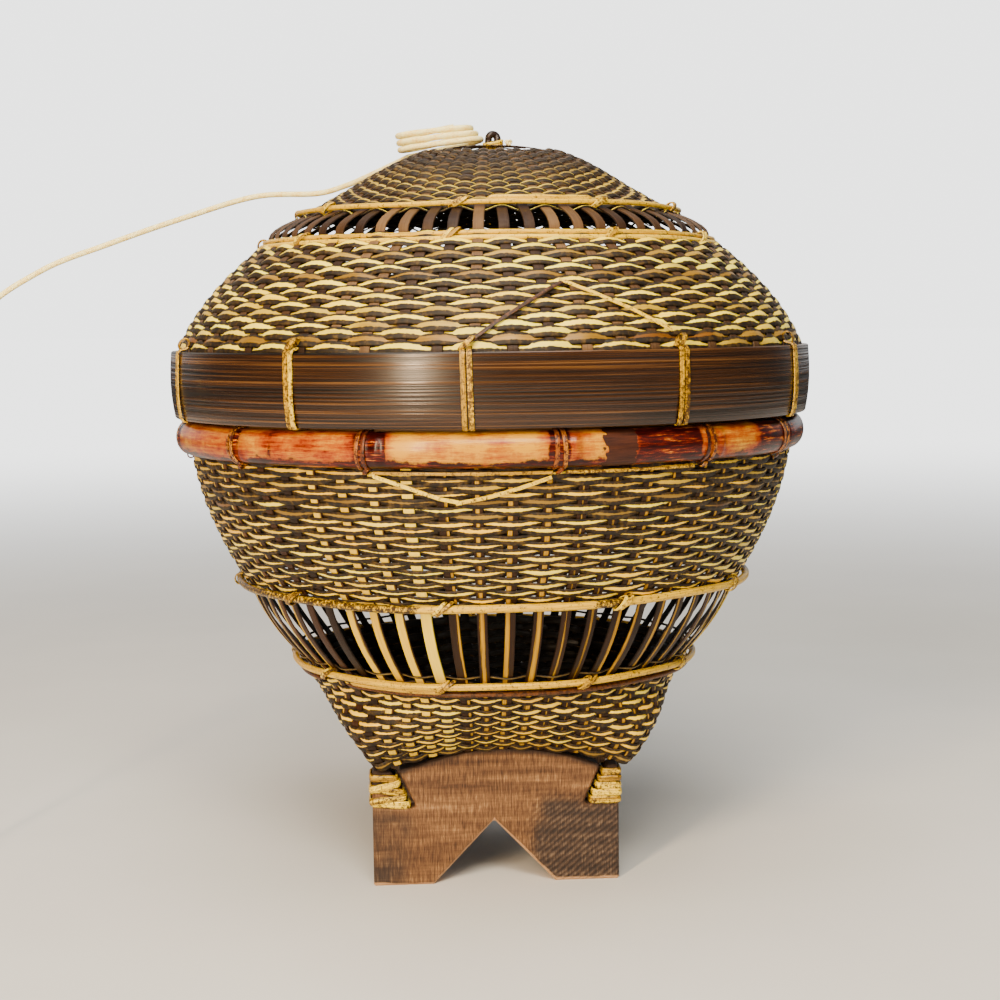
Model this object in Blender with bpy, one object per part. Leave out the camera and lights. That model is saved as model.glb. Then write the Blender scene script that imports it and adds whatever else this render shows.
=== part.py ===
"""A lidded fishing basket of woven cane, square at the foot and round at the rim.

It stands on two notched wooden foot boards. The lid drops over a split bamboo neck
and carries a small hank of cord. Lengths are in metres, the front faces -Y, and
the origin is on the floor under the middle of the basket.
"""

import math

import bpy
import numpy as np

# Counts of the weave
SIDES = 4
STAKES_PER_SIDE = 15
STAKES = SIDES * STAKES_PER_SIDE
COLUMNS_PER_SIDE = 10
COLUMNS = SIDES * COLUMNS_PER_SIDE

# Clearances between pieces that touch on the real basket
GAP = 0.0003
FACET_GAP = 0.0005
SEAT_GAP = 0.0003

# Woven walls
WALL = 0.0024
STAKE_THICKNESS = 0.0016
STAKE_WIDTH = 0.0046
LID_STAKE_WIDTH = 0.0050
STAKE_REACH = 0.0065
LID_STAKE_REACH = 0.0050

# Foot boards
BOARD_SHIFT = -0.0016
BOARD_LEFT = 0.0588
BOARD_RIGHT = 0.0552
BOARD_THICKNESS = 0.012
BOARD_FRONT = 0.057
NOTCH_CENTRE = -0.0028
NOTCH_HALF_WIDTH = 0.0284
NOTCH_HEIGHT = 0.0298
HORN_SLOT_FOOT = (0.0408, 0.0375)
HORN_SLOT_TOP = 0.0485
HORN_SLOT_WIDTH = 0.0034
CHAMFER = 0.0008

# Lashings of five cane turns round each horn of a board
LASHING_TURNS = 5
LASHING_PITCH = 0.0034
LASHING_CANE = 0.0024
LASHING_FOOT = 0.0365

# Square bottom of the basket, arched between its four corners
BOTTOM_HALF = 0.0615
BOTTOM_CORNER_HEIGHT = 0.0545
BOTTOM_ARCH = 0.0096
BOTTOM_DOME = 0.0040
MAT_THICKNESS = 0.0022
MAT_SHARES = (0.60, 1.0)
SQUARE_POWER = 12.0
SQUARE_FADE = 2.2
LOWER_SHARES = (0.0, 0.28, 0.56, 0.82, 1.0)
ROUND_FROM = 0.82

# Heights and half widths of the outer face of the body
WAIST_LOW = 0.1005
WAIST_LOW_RADIUS = 0.0942
WAIST_HIGH = 0.1370
WAIST_HIGH_RADIUS = 0.1182
SHOULDER = 0.1965
WALL_TOP = 0.2140
RIM_RADIUS = 0.1427
BAND_BOW = 0.0032
UPPER_BULGE = 0.0036
LOWER_BULGE = 0.0020

# Hoops of whole cane tied outside the wall
UPPER_CANE = 0.0038
LOWER_CANE = 0.0034
SECOND_CANE = 0.0024
LID_CANE = 0.0023
HOOP_SIDES = 5
UPPER_CANE_RAISE = 0.0012
LOWER_CANE_DROP = 0.0008
LID_CANE_CLOSENESS = 0.75
TIE_WIDTH = 0.0030
TIE_THICKNESS = 0.0006

# Split bamboo rim hoop and the neck inside the wall
RIM_HEIGHT = 0.0154
RIM_DEPTH = 0.0063
RIM_FOOT = 0.1993
RIM_RIDGE = 0.0007
RIM_ARC_POINTS = 7
RIDGE_HALF_ANGLE = 0.8
NECK_THICKNESS = 0.0024
NECK_FOOT = 0.1975
NECK_TOP = 0.2360

# Lid, measured up from its lower edge
LID_BAND_HEIGHT = 0.0310
LID_BAND_THICKNESS = 0.0028
LID_BAND_BARREL = 0.0007
LID_BAND_TAPER = 0.0020
LID_INNER_THICKNESS = 0.0026
LID_RUNNING_GAP = 0.0032
LID_BAND_FOOT_GAP = 0.0020
LID_FALL_SPLIT = 0.45
LID_WAIST_LOW = 0.0810
LID_WAIST_LOW_RADIUS = 0.1055
LID_BAND_BOW = 0.0050
LID_WAIST_HIGH = 0.0925
LID_WAIST_HIGH_RADIUS = 0.0898
CROWN_MAT_HALF = 0.0320
CROWN_MAT_HEIGHT = 0.1215
CROWN_DOME = 0.0031
CROWN_ROUND_TO = 0.25
CROWN_SQUARENESS = 0.4
CROWN_SQUARE_FADE = 2.0
CROWN_CURVE = 0.25

# Ties, as bearings in degrees from the front towards +X
UPPER_WAIST_TIES = [-50.0, -13.9, 23.5] + [60.0 + 35.7 * i for i in range(7)]
LOWER_WAIST_TIES = [-55.4, -16.6, 21.5] + [60.0 + 40.8 * i for i in range(6)]
LID_LOW_TIES = [-54.1, -12.6, 24.8] + [59.4 + 35.2 * i for i in range(7)]
LID_HIGH_TIES = [-56.3, -11.9, 28.1] + [63.6 + 40.0 * i for i in range(6)]
BAND_TIES = [-7.2, 28.2, 59.8] + [97.9 + 38.1 * i for i in range(5)] + [288.4, 323.0]
BAND_TIE_WIDTH = 0.0032
RIM_TIES = [-24.8, 7.4, 34.9, 58.4] + [89.5 + 31.14 * i for i in range(7)] + [307.4]
RIM_TIE_WIDTH = 0.0034
RIM_RIDGE_SHIFT = 2.6
STRAP_THICKNESS = 0.0007

# Cane strips laid in a chevron on the lid and under the rim
CHEVRON_WIDTH = 0.0026
CHEVRON_THICKNESS = 0.0007
RIM_CHEVRON_START = 0.0030
RIM_CHEVRON_DROP = 0.0135
RIM_CHEVRON_INSET = 2.2
LID_CHEVRON_START = 0.0050
LID_CHEVRON_PEAK = 0.0340
LID_CHEVRON_END = 0.0090
LID_CHEVRON_INSET = 1.2

# Cane loop at the top of the lid, and the cord
LOOP_CANE = 0.0032
LOOP_HALF_WIDTH = 0.0030
LOOP_HEIGHT = 0.0088
CORD = 0.0028
HANK_TURNS = 2.25
HANK_POINTS = 24
HANK_PITCH_FAR = 0.0052
HANK_PITCH_NEAR = 0.0035
HANK_HALF_LENGTH = 0.0125
HANK_STAGGER = 0.0022
HANK_NEAR_RADIUS = 0.0030
HANK_FAR_RADIUS = 0.0045
HANK_CENTRE = (-0.0245, 0.0060)
HANK_RISE = 0.0080
HANK_LONG_AXIS = (0.975, -0.05, 0.15)
HANK_LEAN = 6.0
CORD_FIRST_GAP = 0.0003
TAIL_SPACING = 3.0 * CORD
TAIL_ROUTE = [
    (-0.0500, 0.0045, 0.3345),
    (-0.0600, 0.0150, 0.3310),
    (-0.0680, 0.0310, 0.3270),
    (-0.0820, 0.0430, 0.3238),
    (-0.1134, 0.0500, 0.3228),
    (-0.1484, 0.0450, 0.3124),
    (-0.1845, 0.0350, 0.2994),
    (-0.2180, 0.0300, 0.2860),
    (-0.2470, 0.0260, 0.2640),
    (-0.2610, 0.0230, 0.2250),
    (-0.2650, 0.0220, 0.1650),
    (-0.2650, 0.0220, 0.0950),
    (-0.2640, 0.0190, 0.0400),
    (-0.2630, 0.0050, 0.0110),
    (-0.2620, -0.0170, 0.0030),
    (-0.2610, -0.0450, 0.0020),
    (-0.2600, -0.0730, 0.0020),
]


def clear_scene():
    """Remove whatever the scene holds."""
    for obj in list(bpy.data.objects):
        bpy.data.objects.remove(obj, do_unlink=True)


def material(name, colour, roughness):
    """One plain material of a colour given in linear red, green and blue."""
    made = bpy.data.materials.new(name)
    made.use_nodes = True
    shader = made.node_tree.nodes["Principled BSDF"]
    shader.inputs["Base Color"].default_value = (*colour, 1.0)
    shader.inputs["Roughness"].default_value = roughness
    shader.inputs["Metallic"].default_value = 0.0
    return made


LOOKS = {
    "gold cane": ((0.52, 0.34, 0.10), 0.45),
    "brown cane": ((0.14, 0.065, 0.022), 0.50),
    "dark bamboo": ((0.075, 0.032, 0.012), 0.35),
    "lacquered bamboo": ((0.55, 0.13, 0.02), 0.30),
    "sawn wood": ((0.17, 0.10, 0.065), 0.80),
    "pale cord": ((0.72, 0.56, 0.34), 0.85),
}


def place_object(obj, look, parent, turn):
    """Link an object, give it its own material and put it under its parent."""
    colour, roughness = LOOKS[look]
    bpy.context.scene.collection.objects.link(obj)
    obj.data.materials.append(material(obj.name + " " + look, colour, roughness))
    obj.rotation_euler = (0.0, 0.0, math.radians(turn))
    obj.parent = parent
    return obj


def mesh_object(name, points, faces, look, parent=None, turn=0.0, smooth=True):
    """A closed mesh from points and faces that already point outwards."""
    mesh = bpy.data.meshes.new(name)
    mesh.from_pydata([tuple(p) for p in np.asarray(points, float)], [], faces)
    mesh.validate()
    obj = place_object(bpy.data.objects.new(name, mesh), look, parent, turn)
    if smooth:
        mesh.shade_smooth()
        mesh.set_sharp_from_angle(angle=math.radians(35.0))
    return obj


def tube_object(name, points, radius, look, parent=None, fineness=2):
    """A round cord along a line of points, closed at both ends."""
    curve = bpy.data.curves.new(name, "CURVE")
    curve.dimensions = "3D"
    curve.bevel_depth = radius
    curve.bevel_resolution = fineness
    curve.use_fill_caps = True
    spline = curve.splines.new("POLY")
    spline.points.add(len(points) - 1)
    for point, place in zip(spline.points, points):
        point.co = (*place, 1.0)
    return place_object(bpy.data.objects.new(name, curve), look, parent, 0.0)


def bearing(place, squareness):
    """Bearing in radians of a place round the basket, counted 0 to SIDES.

    On the square bottom places are spaced evenly along each side, and on the round
    rim evenly round the circle; squareness blends between the two.
    """
    side = np.floor(place + 1e-9)
    along = 2.0 * (place - side) - 1.0
    spread = squareness * np.arctan(along) + (1.0 - squareness) * along * math.pi / 4.0
    return side * math.pi / 2.0 + spread


def section(place, half, squareness, height):
    """Points of one level of the basket, a circle drawn out to a rounded square."""
    turn = bearing(place, squareness)
    power = 2.0 + SQUARE_POWER * squareness
    reach = (np.abs(np.cos(turn)) ** power + np.abs(np.sin(turn)) ** power) ** (-1.0 / power)
    x = half * reach * np.sin(turn)
    y = -half * reach * np.cos(turn)
    return np.stack([x, y, np.broadcast_to(height, x.shape)], axis=-1)


def side_along(place):
    """How far a place is along its side, from -1 at one corner to 1 at the next."""
    return 2.0 * (place - np.floor(place + 1e-9)) - 1.0


def even_places():
    """Columns spaced evenly round the basket."""
    return np.arange(COLUMNS) / COLUMNS_PER_SIDE


def stake_places(width, radius):
    """Column lines on both sides of every stake, for stakes of this width."""
    half_share = width / (2.0 * math.pi * radius / STAKES) / 2.0
    middle = np.arange(STAKES) + 0.5
    lines = np.stack([middle - half_share, middle + half_share], axis=1).reshape(-1)
    return lines / STAKES_PER_SIDE


def inset_profile(profile, depth):
    """The profile moved inwards by a depth, square to its own slope."""
    rows = np.array(profile, float)
    slope = np.gradient(rows[:, :2], axis=0)
    slope /= np.linalg.norm(slope, axis=1)[:, None]
    rows[:, 0] -= depth * slope[:, 1]
    rows[:, 1] += depth * slope[:, 0]
    return rows


def rings(profile, places, lift=None):
    """One ring of points for each (half width, height, squareness) of a profile."""
    levels = []
    for i, (half, height, squareness) in enumerate(profile):
        extra = 0.0 if lift is None else lift(places, i)
        levels.append(section(places, half, squareness, height + extra))
    return np.array(levels)


def shell(outer, inner, windows=(), tip=None):
    """Points and faces of a wall between two grids of rings, open where windows are.

    windows holds (row, column) cells left open. tip is a pair of points, outside and
    inside, that close the last ring, or None where that ring is an open edge.
    """
    rows, columns = outer.shape[:2]
    points = np.concatenate([outer.reshape(-1, 3), inner.reshape(-1, 3)])
    inside = rows * columns
    open_cells = set(windows)
    faces = []

    def solid(i, j):
        if i < 0:
            return False
        if i >= rows - 1:
            return tip is not None
        return (i, j % columns) not in open_cells

    for i in range(rows - 1):
        for j in range(columns):
            if not solid(i, j):
                continue
            a, b = i * columns + j, i * columns + (j + 1) % columns
            c, d = b + columns, a + columns
            faces.append((a, b, c, d))
            faces.append((inside + d, inside + c, inside + b, inside + a))
            if not solid(i - 1, j):
                faces.append((inside + a, inside + b, b, a))
            if not solid(i + 1, j):
                faces.append((d, c, inside + c, inside + d))
            if not solid(i, j - 1):
                faces.append((a, d, inside + d, inside + a))
            if not solid(i, j + 1):
                faces.append((b, inside + b, inside + c, c))
    if tip is not None:
        top = (rows - 1) * columns
        peak = len(points)
        points = np.concatenate([points, np.array(tip, float)])
        for j in range(columns):
            a, b = top + j, top + (j + 1) % columns
            faces.append((a, b, peak))
            faces.append((inside + b, inside + a, peak + 1))
    used = sorted({k for face in faces for k in face})
    place_of = {k: n for n, k in enumerate(used)}
    return points[used], [tuple(place_of[k] for k in face) for face in faces]


def turned(outline, columns=COLUMNS):
    """A closed outline of (radius, height) swept round the axis, as one body."""
    around = np.arange(columns) * 2.0 * math.pi / columns
    loop = np.array(outline, float)
    grid = np.stack(
        [
            np.outer(np.sin(around), loop[:, 0]),
            -np.outer(np.cos(around), loop[:, 0]),
            np.broadcast_to(loop[:, 1], (columns, len(loop))),
        ],
        axis=-1,
    )
    return closed_grid(grid)


def closed_grid(grid):
    """Points and faces of a ring of closed outlines, closed both ways."""
    columns, count = grid.shape[:2]
    faces = []
    for j in range(columns):
        for k in range(count):
            a, b = j * count + k, ((j + 1) % columns) * count + k
            c, d = ((j + 1) % columns) * count + (k + 1) % count, j * count + (k + 1) % count
            faces.append((a, b, c, d))
    return grid.reshape(-1, 3), faces


def swept(sections):
    """Points and faces of a row of closed outlines, with flat ends."""
    stations, count = sections.shape[:2]
    faces = [tuple(range(count))]
    for i in range(stations - 1):
        for k in range(count):
            a, b = i * count + k, i * count + (k + 1) % count
            faces.append((b, a, a + count, b + count))
    last = (stations - 1) * count
    faces.append(tuple(last + k for k in reversed(range(count))))
    return sections.reshape(-1, 3), faces


def hoop(name, radius, height, cane, ties, look, parent):
    """A round cane hoop, with a raised collar where each tie goes over it."""
    half_tie = math.degrees(TIE_WIDTH / 2.0 / radius)
    step = math.degrees(TIE_THICKNESS / 2.0 / radius)
    stations = [(360.0 * j / COLUMNS, 0.0) for j in range(COLUMNS)]
    for tie in ties:
        near = [s for s in stations if abs((s[0] - tie + 180.0) % 360.0 - 180.0) <= half_tie + 2 * step]
        stations = [s for s in stations if s not in near]
        for shift, raised in ((-half_tie - step, 0.0), (-half_tie, 1.0), (half_tie, 1.0), (half_tie + step, 0.0)):
            stations.append(((tie + shift) % 360.0, raised))
    stations.sort()
    grid = []
    for degrees, raised in stations:
        turn = math.radians(degrees)
        round_radius = cane / 2.0 + raised * TIE_THICKNESS
        middle = radius + raised * TIE_THICKNESS
        loop = []
        for k in range(HOOP_SIDES):
            angle = 2.0 * math.pi * k / HOOP_SIDES
            reach = middle + round_radius * math.cos(angle)
            loop.append((reach * math.sin(turn), -reach * math.cos(turn), height + round_radius * math.sin(angle)))
        grid.append(loop)
    points, faces = closed_grid(np.array(grid))
    return mesh_object(name, points, faces, look, parent)


def strap(name, path, width, look, parent, turn):
    """A flat strip of cane bent along a path of (radius, height), at one bearing."""
    line = np.array(path, float)
    slope = np.gradient(line, axis=0)
    slope /= np.linalg.norm(slope, axis=1)[:, None]
    normal = np.stack([slope[:, 1], -slope[:, 0]], axis=1)
    edge_out = line + normal * STRAP_THICKNESS / 2.0
    edge_in = line - normal * STRAP_THICKNESS / 2.0
    sections = []
    for outer, inner in zip(edge_out, edge_in):
        sections.append(
            [
                (-width / 2.0, -inner[0], inner[1]),
                (width / 2.0, -inner[0], inner[1]),
                (width / 2.0, -outer[0], outer[1]),
                (-width / 2.0, -outer[0], outer[1]),
            ]
        )
    points, faces = swept(np.array(sections))
    return mesh_object(name, points, faces, look, parent, turn)


def ribbon(name, line, normals, width, thickness, look, parent):
    """A flat strip laid along a line of points, its face turned to the normals."""
    along = np.gradient(line, axis=0)
    along /= np.linalg.norm(along, axis=1)[:, None]
    across = np.cross(along, normals)
    across /= np.linalg.norm(across, axis=1)[:, None]
    up = np.cross(across, along)
    half = across * width / 2.0
    raised = up * thickness
    sections = np.stack([line - half, line + half, line + half + raised, line - half + raised], axis=1)
    points, faces = swept(sections)
    return mesh_object(name, points, faces, look, parent)


def smooth_line(route, spacing):
    """Evenly spaced points on a smooth curve through the points of a route."""
    knots = np.array(route, float)
    padded = np.concatenate([[2 * knots[0] - knots[1]], knots, [2 * knots[-1] - knots[-2]]])
    fine = []
    for i in range(len(knots) - 1):
        a, b, c, d = padded[i : i + 4]
        for t in np.linspace(0.0, 1.0, 20, endpoint=False):
            fine.append(
                0.5 * (2 * b + (c - a) * t + (2 * a - 5 * b + 4 * c - d) * t**2 + (3 * b - a - 3 * c + d) * t**3)
            )
    fine.append(knots[-1])
    fine = np.array(fine)
    travelled = np.concatenate([[0.0], np.cumsum(np.linalg.norm(np.diff(fine, axis=0), axis=1))])
    count = max(2, round(travelled[-1] / spacing) + 1)
    marks = np.linspace(0.0, travelled[-1], count)
    return np.stack([np.interp(marks, travelled, fine[:, k]) for k in range(3)], axis=1)


# Driving profiles, each a list of (half width, height, squareness)

def body_radius(height):
    """Radius of the outer face of the round part of the body at a height."""
    heights = [WAIST_LOW, WAIST_HIGH, (WAIST_HIGH + SHOULDER) / 2.0, SHOULDER, WALL_TOP]
    mid_upper = (WAIST_HIGH_RADIUS + RIM_RADIUS) / 2.0 + UPPER_BULGE
    radii = [WAIST_LOW_RADIUS, WAIST_HIGH_RADIUS, mid_upper, RIM_RADIUS, RIM_RADIUS]
    return float(np.interp(height, heights, radii))


def lower_profile():
    """Outer face of the lower weave, from the square bottom up to the open band."""
    foot_height = BOTTOM_CORNER_HEIGHT
    rows = []
    for share in LOWER_SHARES:
        bulge = LOWER_BULGE * share**2 * (1.0 - share) * 27.0 / 4.0
        half = BOTTOM_HALF + (WAIST_LOW_RADIUS - BOTTOM_HALF) * share + bulge
        height = foot_height + (WAIST_LOW - foot_height) * share
        rows.append((half, height, max(0.0, 1.0 - share / ROUND_FROM) ** SQUARE_FADE))
    return rows


def upper_profile():
    """Outer face of the upper weave, from the open band up behind the rim hoop."""
    steps = [WAIST_HIGH, (WAIST_HIGH + SHOULDER) / 2.0, SHOULDER, WALL_TOP]
    return [(body_radius(height), height, 0.0) for height in steps]


def lid_profile():
    """Outer face of the lid's weave, from inside the bands up to its open band."""
    inside = RIM_RADIUS - WALL - FACET_GAP + LID_RUNNING_GAP + LID_INNER_THICKNESS + GAP + WALL
    fall = inside - LID_WAIST_LOW_RADIUS
    rise = LID_WAIST_LOW - LID_BAND_HEIGHT
    rows = [(inside, LID_BAND_FOOT_GAP, 0.0), (inside, LID_BAND_HEIGHT, 0.0)]
    for share in (0.24, 0.50, 0.76, 1.0):
        half = inside - fall * (LID_FALL_SPLIT * share + (1.0 - LID_FALL_SPLIT) * share**2)
        rows.append((half, LID_BAND_HEIGHT + rise * share, 0.0))
    return rows


def crown_profile():
    """Outer face of the crown, from the open band up to its square middle mat."""
    rows = []
    rise = CROWN_MAT_HEIGHT - LID_WAIST_HIGH
    fall = LID_WAIST_HIGH_RADIUS - CROWN_MAT_HALF
    for share in (0.0, 0.25, 0.5, 0.75, 1.0):
        half = LID_WAIST_HIGH_RADIUS - fall * share
        climb = (1.0 - CROWN_CURVE) * share + CROWN_CURVE * math.sin(share * math.pi / 2.0)
        above = max(0.0, (share - CROWN_ROUND_TO) / (1.0 - CROWN_ROUND_TO))
        squareness = CROWN_SQUARENESS * above**CROWN_SQUARE_FADE
        rows.append((half, LID_WAIST_HIGH + rise * climb, squareness))
    return rows


def arch(places, row):
    """Rise of the bottom edge between the corners, fading out up the lower weave."""
    fade = (1.0 - LOWER_SHARES[row]) ** 2
    return fade * BOTTOM_ARCH * (1.0 - side_along(places) ** 2)


def make_foot_board(name, turn):
    """A sawn board with a V notch below, an arched top and a slotted horn at each end.

    The slots are even about the middle of the board, while its ends and its notch are
    not, as on the hand-cut original.
    """
    slot_x, slot_z = HORN_SLOT_FOOT
    half_slot = HORN_SLOT_WIDTH / 2.0
    lean = math.atan2(HORN_SLOT_TOP - slot_x, BOTTOM_CORNER_HEIGHT - slot_z)
    top_of_board = BOTTOM_CORNER_HEIGHT - FACET_GAP
    arch_reach = BOARD_FRONT - BOARD_THICKNESS

    def arched(x):
        middle = x + BOARD_SHIFT
        return top_of_board + BOTTOM_ARCH * max(0.0, 1.0 - (middle / arch_reach) ** 2)

    def half_outline(end, sign):
        """One half from the notch's foot out to the end, up and in along the arch."""
        notch = NOTCH_HALF_WIDTH + sign * NOTCH_CENTRE
        half = [(sign * notch, 0.0), (sign * end, 0.0), (sign * end, top_of_board)]
        across = half_slot / math.cos(lean)
        half.append((sign * (HORN_SLOT_TOP + across), top_of_board))
        for k in range(7):
            angle = -lean - math.pi * k / 6.0
            half.append((sign * (slot_x + half_slot * math.cos(angle)), slot_z + half_slot * math.sin(angle)))
        inner_top = sign * (HORN_SLOT_TOP - across)
        half.append((inner_top, arched(inner_top)))
        for k in range(1, 6):
            x = inner_top * (1.0 - k / 6.0)
            half.append((x, arched(x)))
        return half

    right, left = half_outline(BOARD_RIGHT, 1.0), half_outline(BOARD_LEFT, -1.0)
    outline = right + [(0.0, arched(0.0))] + left[::-1] + [(NOTCH_CENTRE, NOTCH_HEIGHT)]
    faces_y = (-BOARD_FRONT, BOARD_THICKNESS - BOARD_FRONT)
    sections = np.array([[(x + BOARD_SHIFT, y, z) for x, z in outline] for y in faces_y])
    points, faces = swept(sections)
    board = mesh_object(name, points, faces, "sawn wood", None, turn, smooth=False)
    bevel = board.modifiers.new("worn edges", "BEVEL")
    bevel.width = CHAMFER
    bevel.segments = 1
    bevel.limit_method = "ANGLE"
    bevel.angle_limit = math.radians(60.0)
    return board


def make_lashing(name, turn, mirrored):
    """Five turns of cane stacked round the horn of a foot board, as one ribbed sleeve."""
    slot_x, slot_z = HORN_SLOT_FOOT
    lean = (HORN_SLOT_TOP - slot_x) / (BOTTOM_CORNER_HEIGHT - slot_z)
    half_slot = HORN_SLOT_WIDTH / 2.0
    end = BOARD_LEFT if mirrored else BOARD_RIGHT

    def ring(height, thickness):
        low_x = slot_x + lean * (height - slot_z) + half_slot - GAP - thickness
        high_x = end + GAP + thickness
        front = -BOARD_FRONT - GAP - thickness
        back = -BOARD_FRONT + BOARD_THICKNESS + GAP + thickness
        cut = thickness * 0.6
        loop = [
            (low_x + cut, front), (high_x - cut, front), (high_x, front + cut), (high_x, back - cut),
            (high_x - cut, back), (low_x + cut, back), (low_x, back - cut), (low_x, front + cut),
        ]
        if mirrored:
            loop = [(-x, y) for x, y in reversed(loop)]
        return [(x + BOARD_SHIFT, y, height) for x, y in loop]

    outer, inner = [], []
    for k in range(2 * LASHING_TURNS + 1):
        height = LASHING_FOOT + LASHING_PITCH * k / 2.0
        swell = LASHING_CANE if k % 2 else LASHING_CANE * 0.55
        outer.append(ring(height, swell))
        inner.append(ring(height, 0.0))
    points, faces = shell(np.array(outer), np.array(inner))
    return mesh_object(name, points, faces, "gold cane", None, turn)


def build_body():
    """Everything that stays on the floor when the lid is lifted."""
    make_foot_board("foot_board_front", 0.0)
    make_foot_board("foot_board_back", 180.0)

    places = even_places()
    lower = np.array(lower_profile())
    outer = rings(lower, places, arch)
    inner = rings(inset_profile(lower, WALL), places, arch)
    mesh_object("lower_weave", *shell(outer, inner), "gold cane")

    mat_half = inset_profile(lower, WALL)[0][0] - FACET_GAP
    mat_rows = [(mat_half * share, BOTTOM_CORNER_HEIGHT, 1.0) for share in MAT_SHARES]

    def mat_lift(where, row):
        share = MAT_SHARES[row]
        side_arch = BOTTOM_ARCH * (1.0 - side_along(where) ** 2)
        return side_arch * share**2 + (BOTTOM_ARCH + BOTTOM_DOME) * (1.0 - share**2)

    under = rings(mat_rows, places, mat_lift)
    over = under + np.array([0.0, 0.0, MAT_THICKNESS])
    middle = np.array([0.0, 0.0, BOTTOM_CORNER_HEIGHT + BOTTOM_ARCH + BOTTOM_DOME])
    tips = (middle, middle + np.array([0.0, 0.0, MAT_THICKNESS]))
    points, faces = shell(under[::-1], over[::-1], tip=tips)
    mesh_object("bottom_mat", points, [face[::-1] for face in faces], "brown cane")

    make_stake_band("waist_stakes", body_band_profile(), STAKE_WIDTH, "gold cane", None)
    upper_height = WAIST_HIGH + UPPER_CANE_RAISE
    upper_radius = body_radius(upper_height) + UPPER_CANE / 2.0 + FACET_GAP
    hoop("waist_hoop_upper", upper_radius, upper_height, UPPER_CANE, UPPER_WAIST_TIES, "gold cane", None)
    lower_height = WAIST_LOW - LOWER_CANE_DROP
    lower_radius = WAIST_LOW_RADIUS + LOWER_CANE / 2.0 + FACET_GAP
    hoop("waist_hoop_lower", lower_radius, lower_height, LOWER_CANE, LOWER_WAIST_TIES, "gold cane", None)
    second_height = lower_height - (LOWER_CANE + SECOND_CANE) / 2.0 - TIE_THICKNESS - GAP
    second_radius = lower_half_at(second_height) + SECOND_CANE / 2.0 + 2.0 * FACET_GAP
    hoop("waist_hoop_second", second_radius, second_height, SECOND_CANE, [], "brown cane", None)

    upper = upper_profile()
    outer = rings(upper, places)
    inner = rings(inset_profile(upper, WALL), places)
    mesh_object("upper_weave", *shell(outer, inner), "gold cane")

    neck_out = RIM_RADIUS - WALL - FACET_GAP
    neck_in = neck_out - NECK_THICKNESS
    outline = [(neck_in, NECK_FOOT), (neck_out, NECK_FOOT), (neck_out, NECK_TOP), (neck_in, NECK_TOP)]
    mesh_object("neck_band", *turned(outline), "dark bamboo")
    make_rim_hoop()
    for i, turn in enumerate(RIM_TIES):
        make_rim_tie(i, turn)
    for i in range(SIDES):
        name = ("front_right", "front_left", "back_left", "back_right")[i]
        make_lashing("corner_lashing_" + name, 0.0 if i < 2 else 180.0, mirrored=i in (1, 3))
    make_rim_chevron()


def lower_half_at(height):
    """Radius of the lower weave's outer face near its round top."""
    rows = lower_profile()
    heights = [row[1] for row in rows]
    halves = [row[0] for row in rows]
    return float(np.interp(height, heights, halves))


def band_ends(below, above, reach):
    """Four rows of a stake band: along the inner face of the weave below, then above."""
    low = inset_profile(below, WALL + FACET_GAP)[-2:, :2]
    high = inset_profile(above, WALL + FACET_GAP)[:2, :2]
    into_low = low[1] + (low[0] - low[1]) * reach / np.linalg.norm(low[0] - low[1])
    into_high = high[0] + (high[1] - high[0]) * reach / np.linalg.norm(high[1] - high[0])
    return [(*into_low, 0.0), (*low[1], 0.0)], [(*high[0], 0.0), (*into_high, 0.0)]


def body_band_profile():
    """Outer face of the waist stakes: behind the weaves at both ends, bowed between."""
    low, high = band_ends(lower_profile(), upper_profile(), STAKE_REACH)
    middle = (WAIST_LOW_RADIUS + WAIST_HIGH_RADIUS) / 2.0 + BAND_BOW
    return low + [(middle, (WAIST_LOW + WAIST_HIGH) / 2.0, 0.0)] + high


def make_stake_band(name, profile, width, look, parent):
    """The bare stakes of an open band, joined above and below by the inner hoops."""
    places = stake_places(width, profile[len(profile) // 2][0])
    outer = rings(profile, places)
    inner = rings(inset_profile(profile, STAKE_THICKNESS), places)
    rows = range(1, len(profile) - 2)
    windows = [(i, j) for i in rows for j in range(1, 2 * STAKES, 2)]
    return mesh_object(name, *shell(outer, inner, windows), look, parent)


def rim_axes():
    """Centre height and half height of the rim hoop, and its flat inner radius."""
    return RIM_FOOT + RIM_HEIGHT / 2.0, RIM_HEIGHT / 2.0, RIM_RADIUS + GAP


def make_rim_hoop():
    """A half round split pole bent round the rim, flat side in, with node ridges."""
    middle, half, flat = rim_axes()
    stations = [(360.0 * j / COLUMNS, 0.0) for j in range(COLUMNS)]
    for turn in RIM_TIES:
        ridge = (turn + RIM_RIDGE_SHIFT) % 360.0
        stations = [s for s in stations if abs(s[0] - ridge) > 2.0 * RIDGE_HALF_ANGLE]
        stations += [(ridge - RIDGE_HALF_ANGLE, 0.0), (ridge, 1.0), (ridge + RIDGE_HALF_ANGLE, 0.0)]
    stations = sorted((degrees % 360.0, raised) for degrees, raised in stations)
    grid = []
    for degrees, raised in stations:
        turn = math.radians(degrees)
        loop = []
        for k in range(RIM_ARC_POINTS):
            angle = math.pi * (k / (RIM_ARC_POINTS - 1.0) - 0.5)
            reach = flat + (RIM_DEPTH + raised * RIM_RIDGE) * math.cos(angle)
            loop.append((reach * math.sin(turn), -reach * math.cos(turn), middle + half * math.sin(angle)))
        grid.append(loop)
    mesh_object("rim_hoop", *closed_grid(np.array(grid)), "lacquered bamboo")


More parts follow.
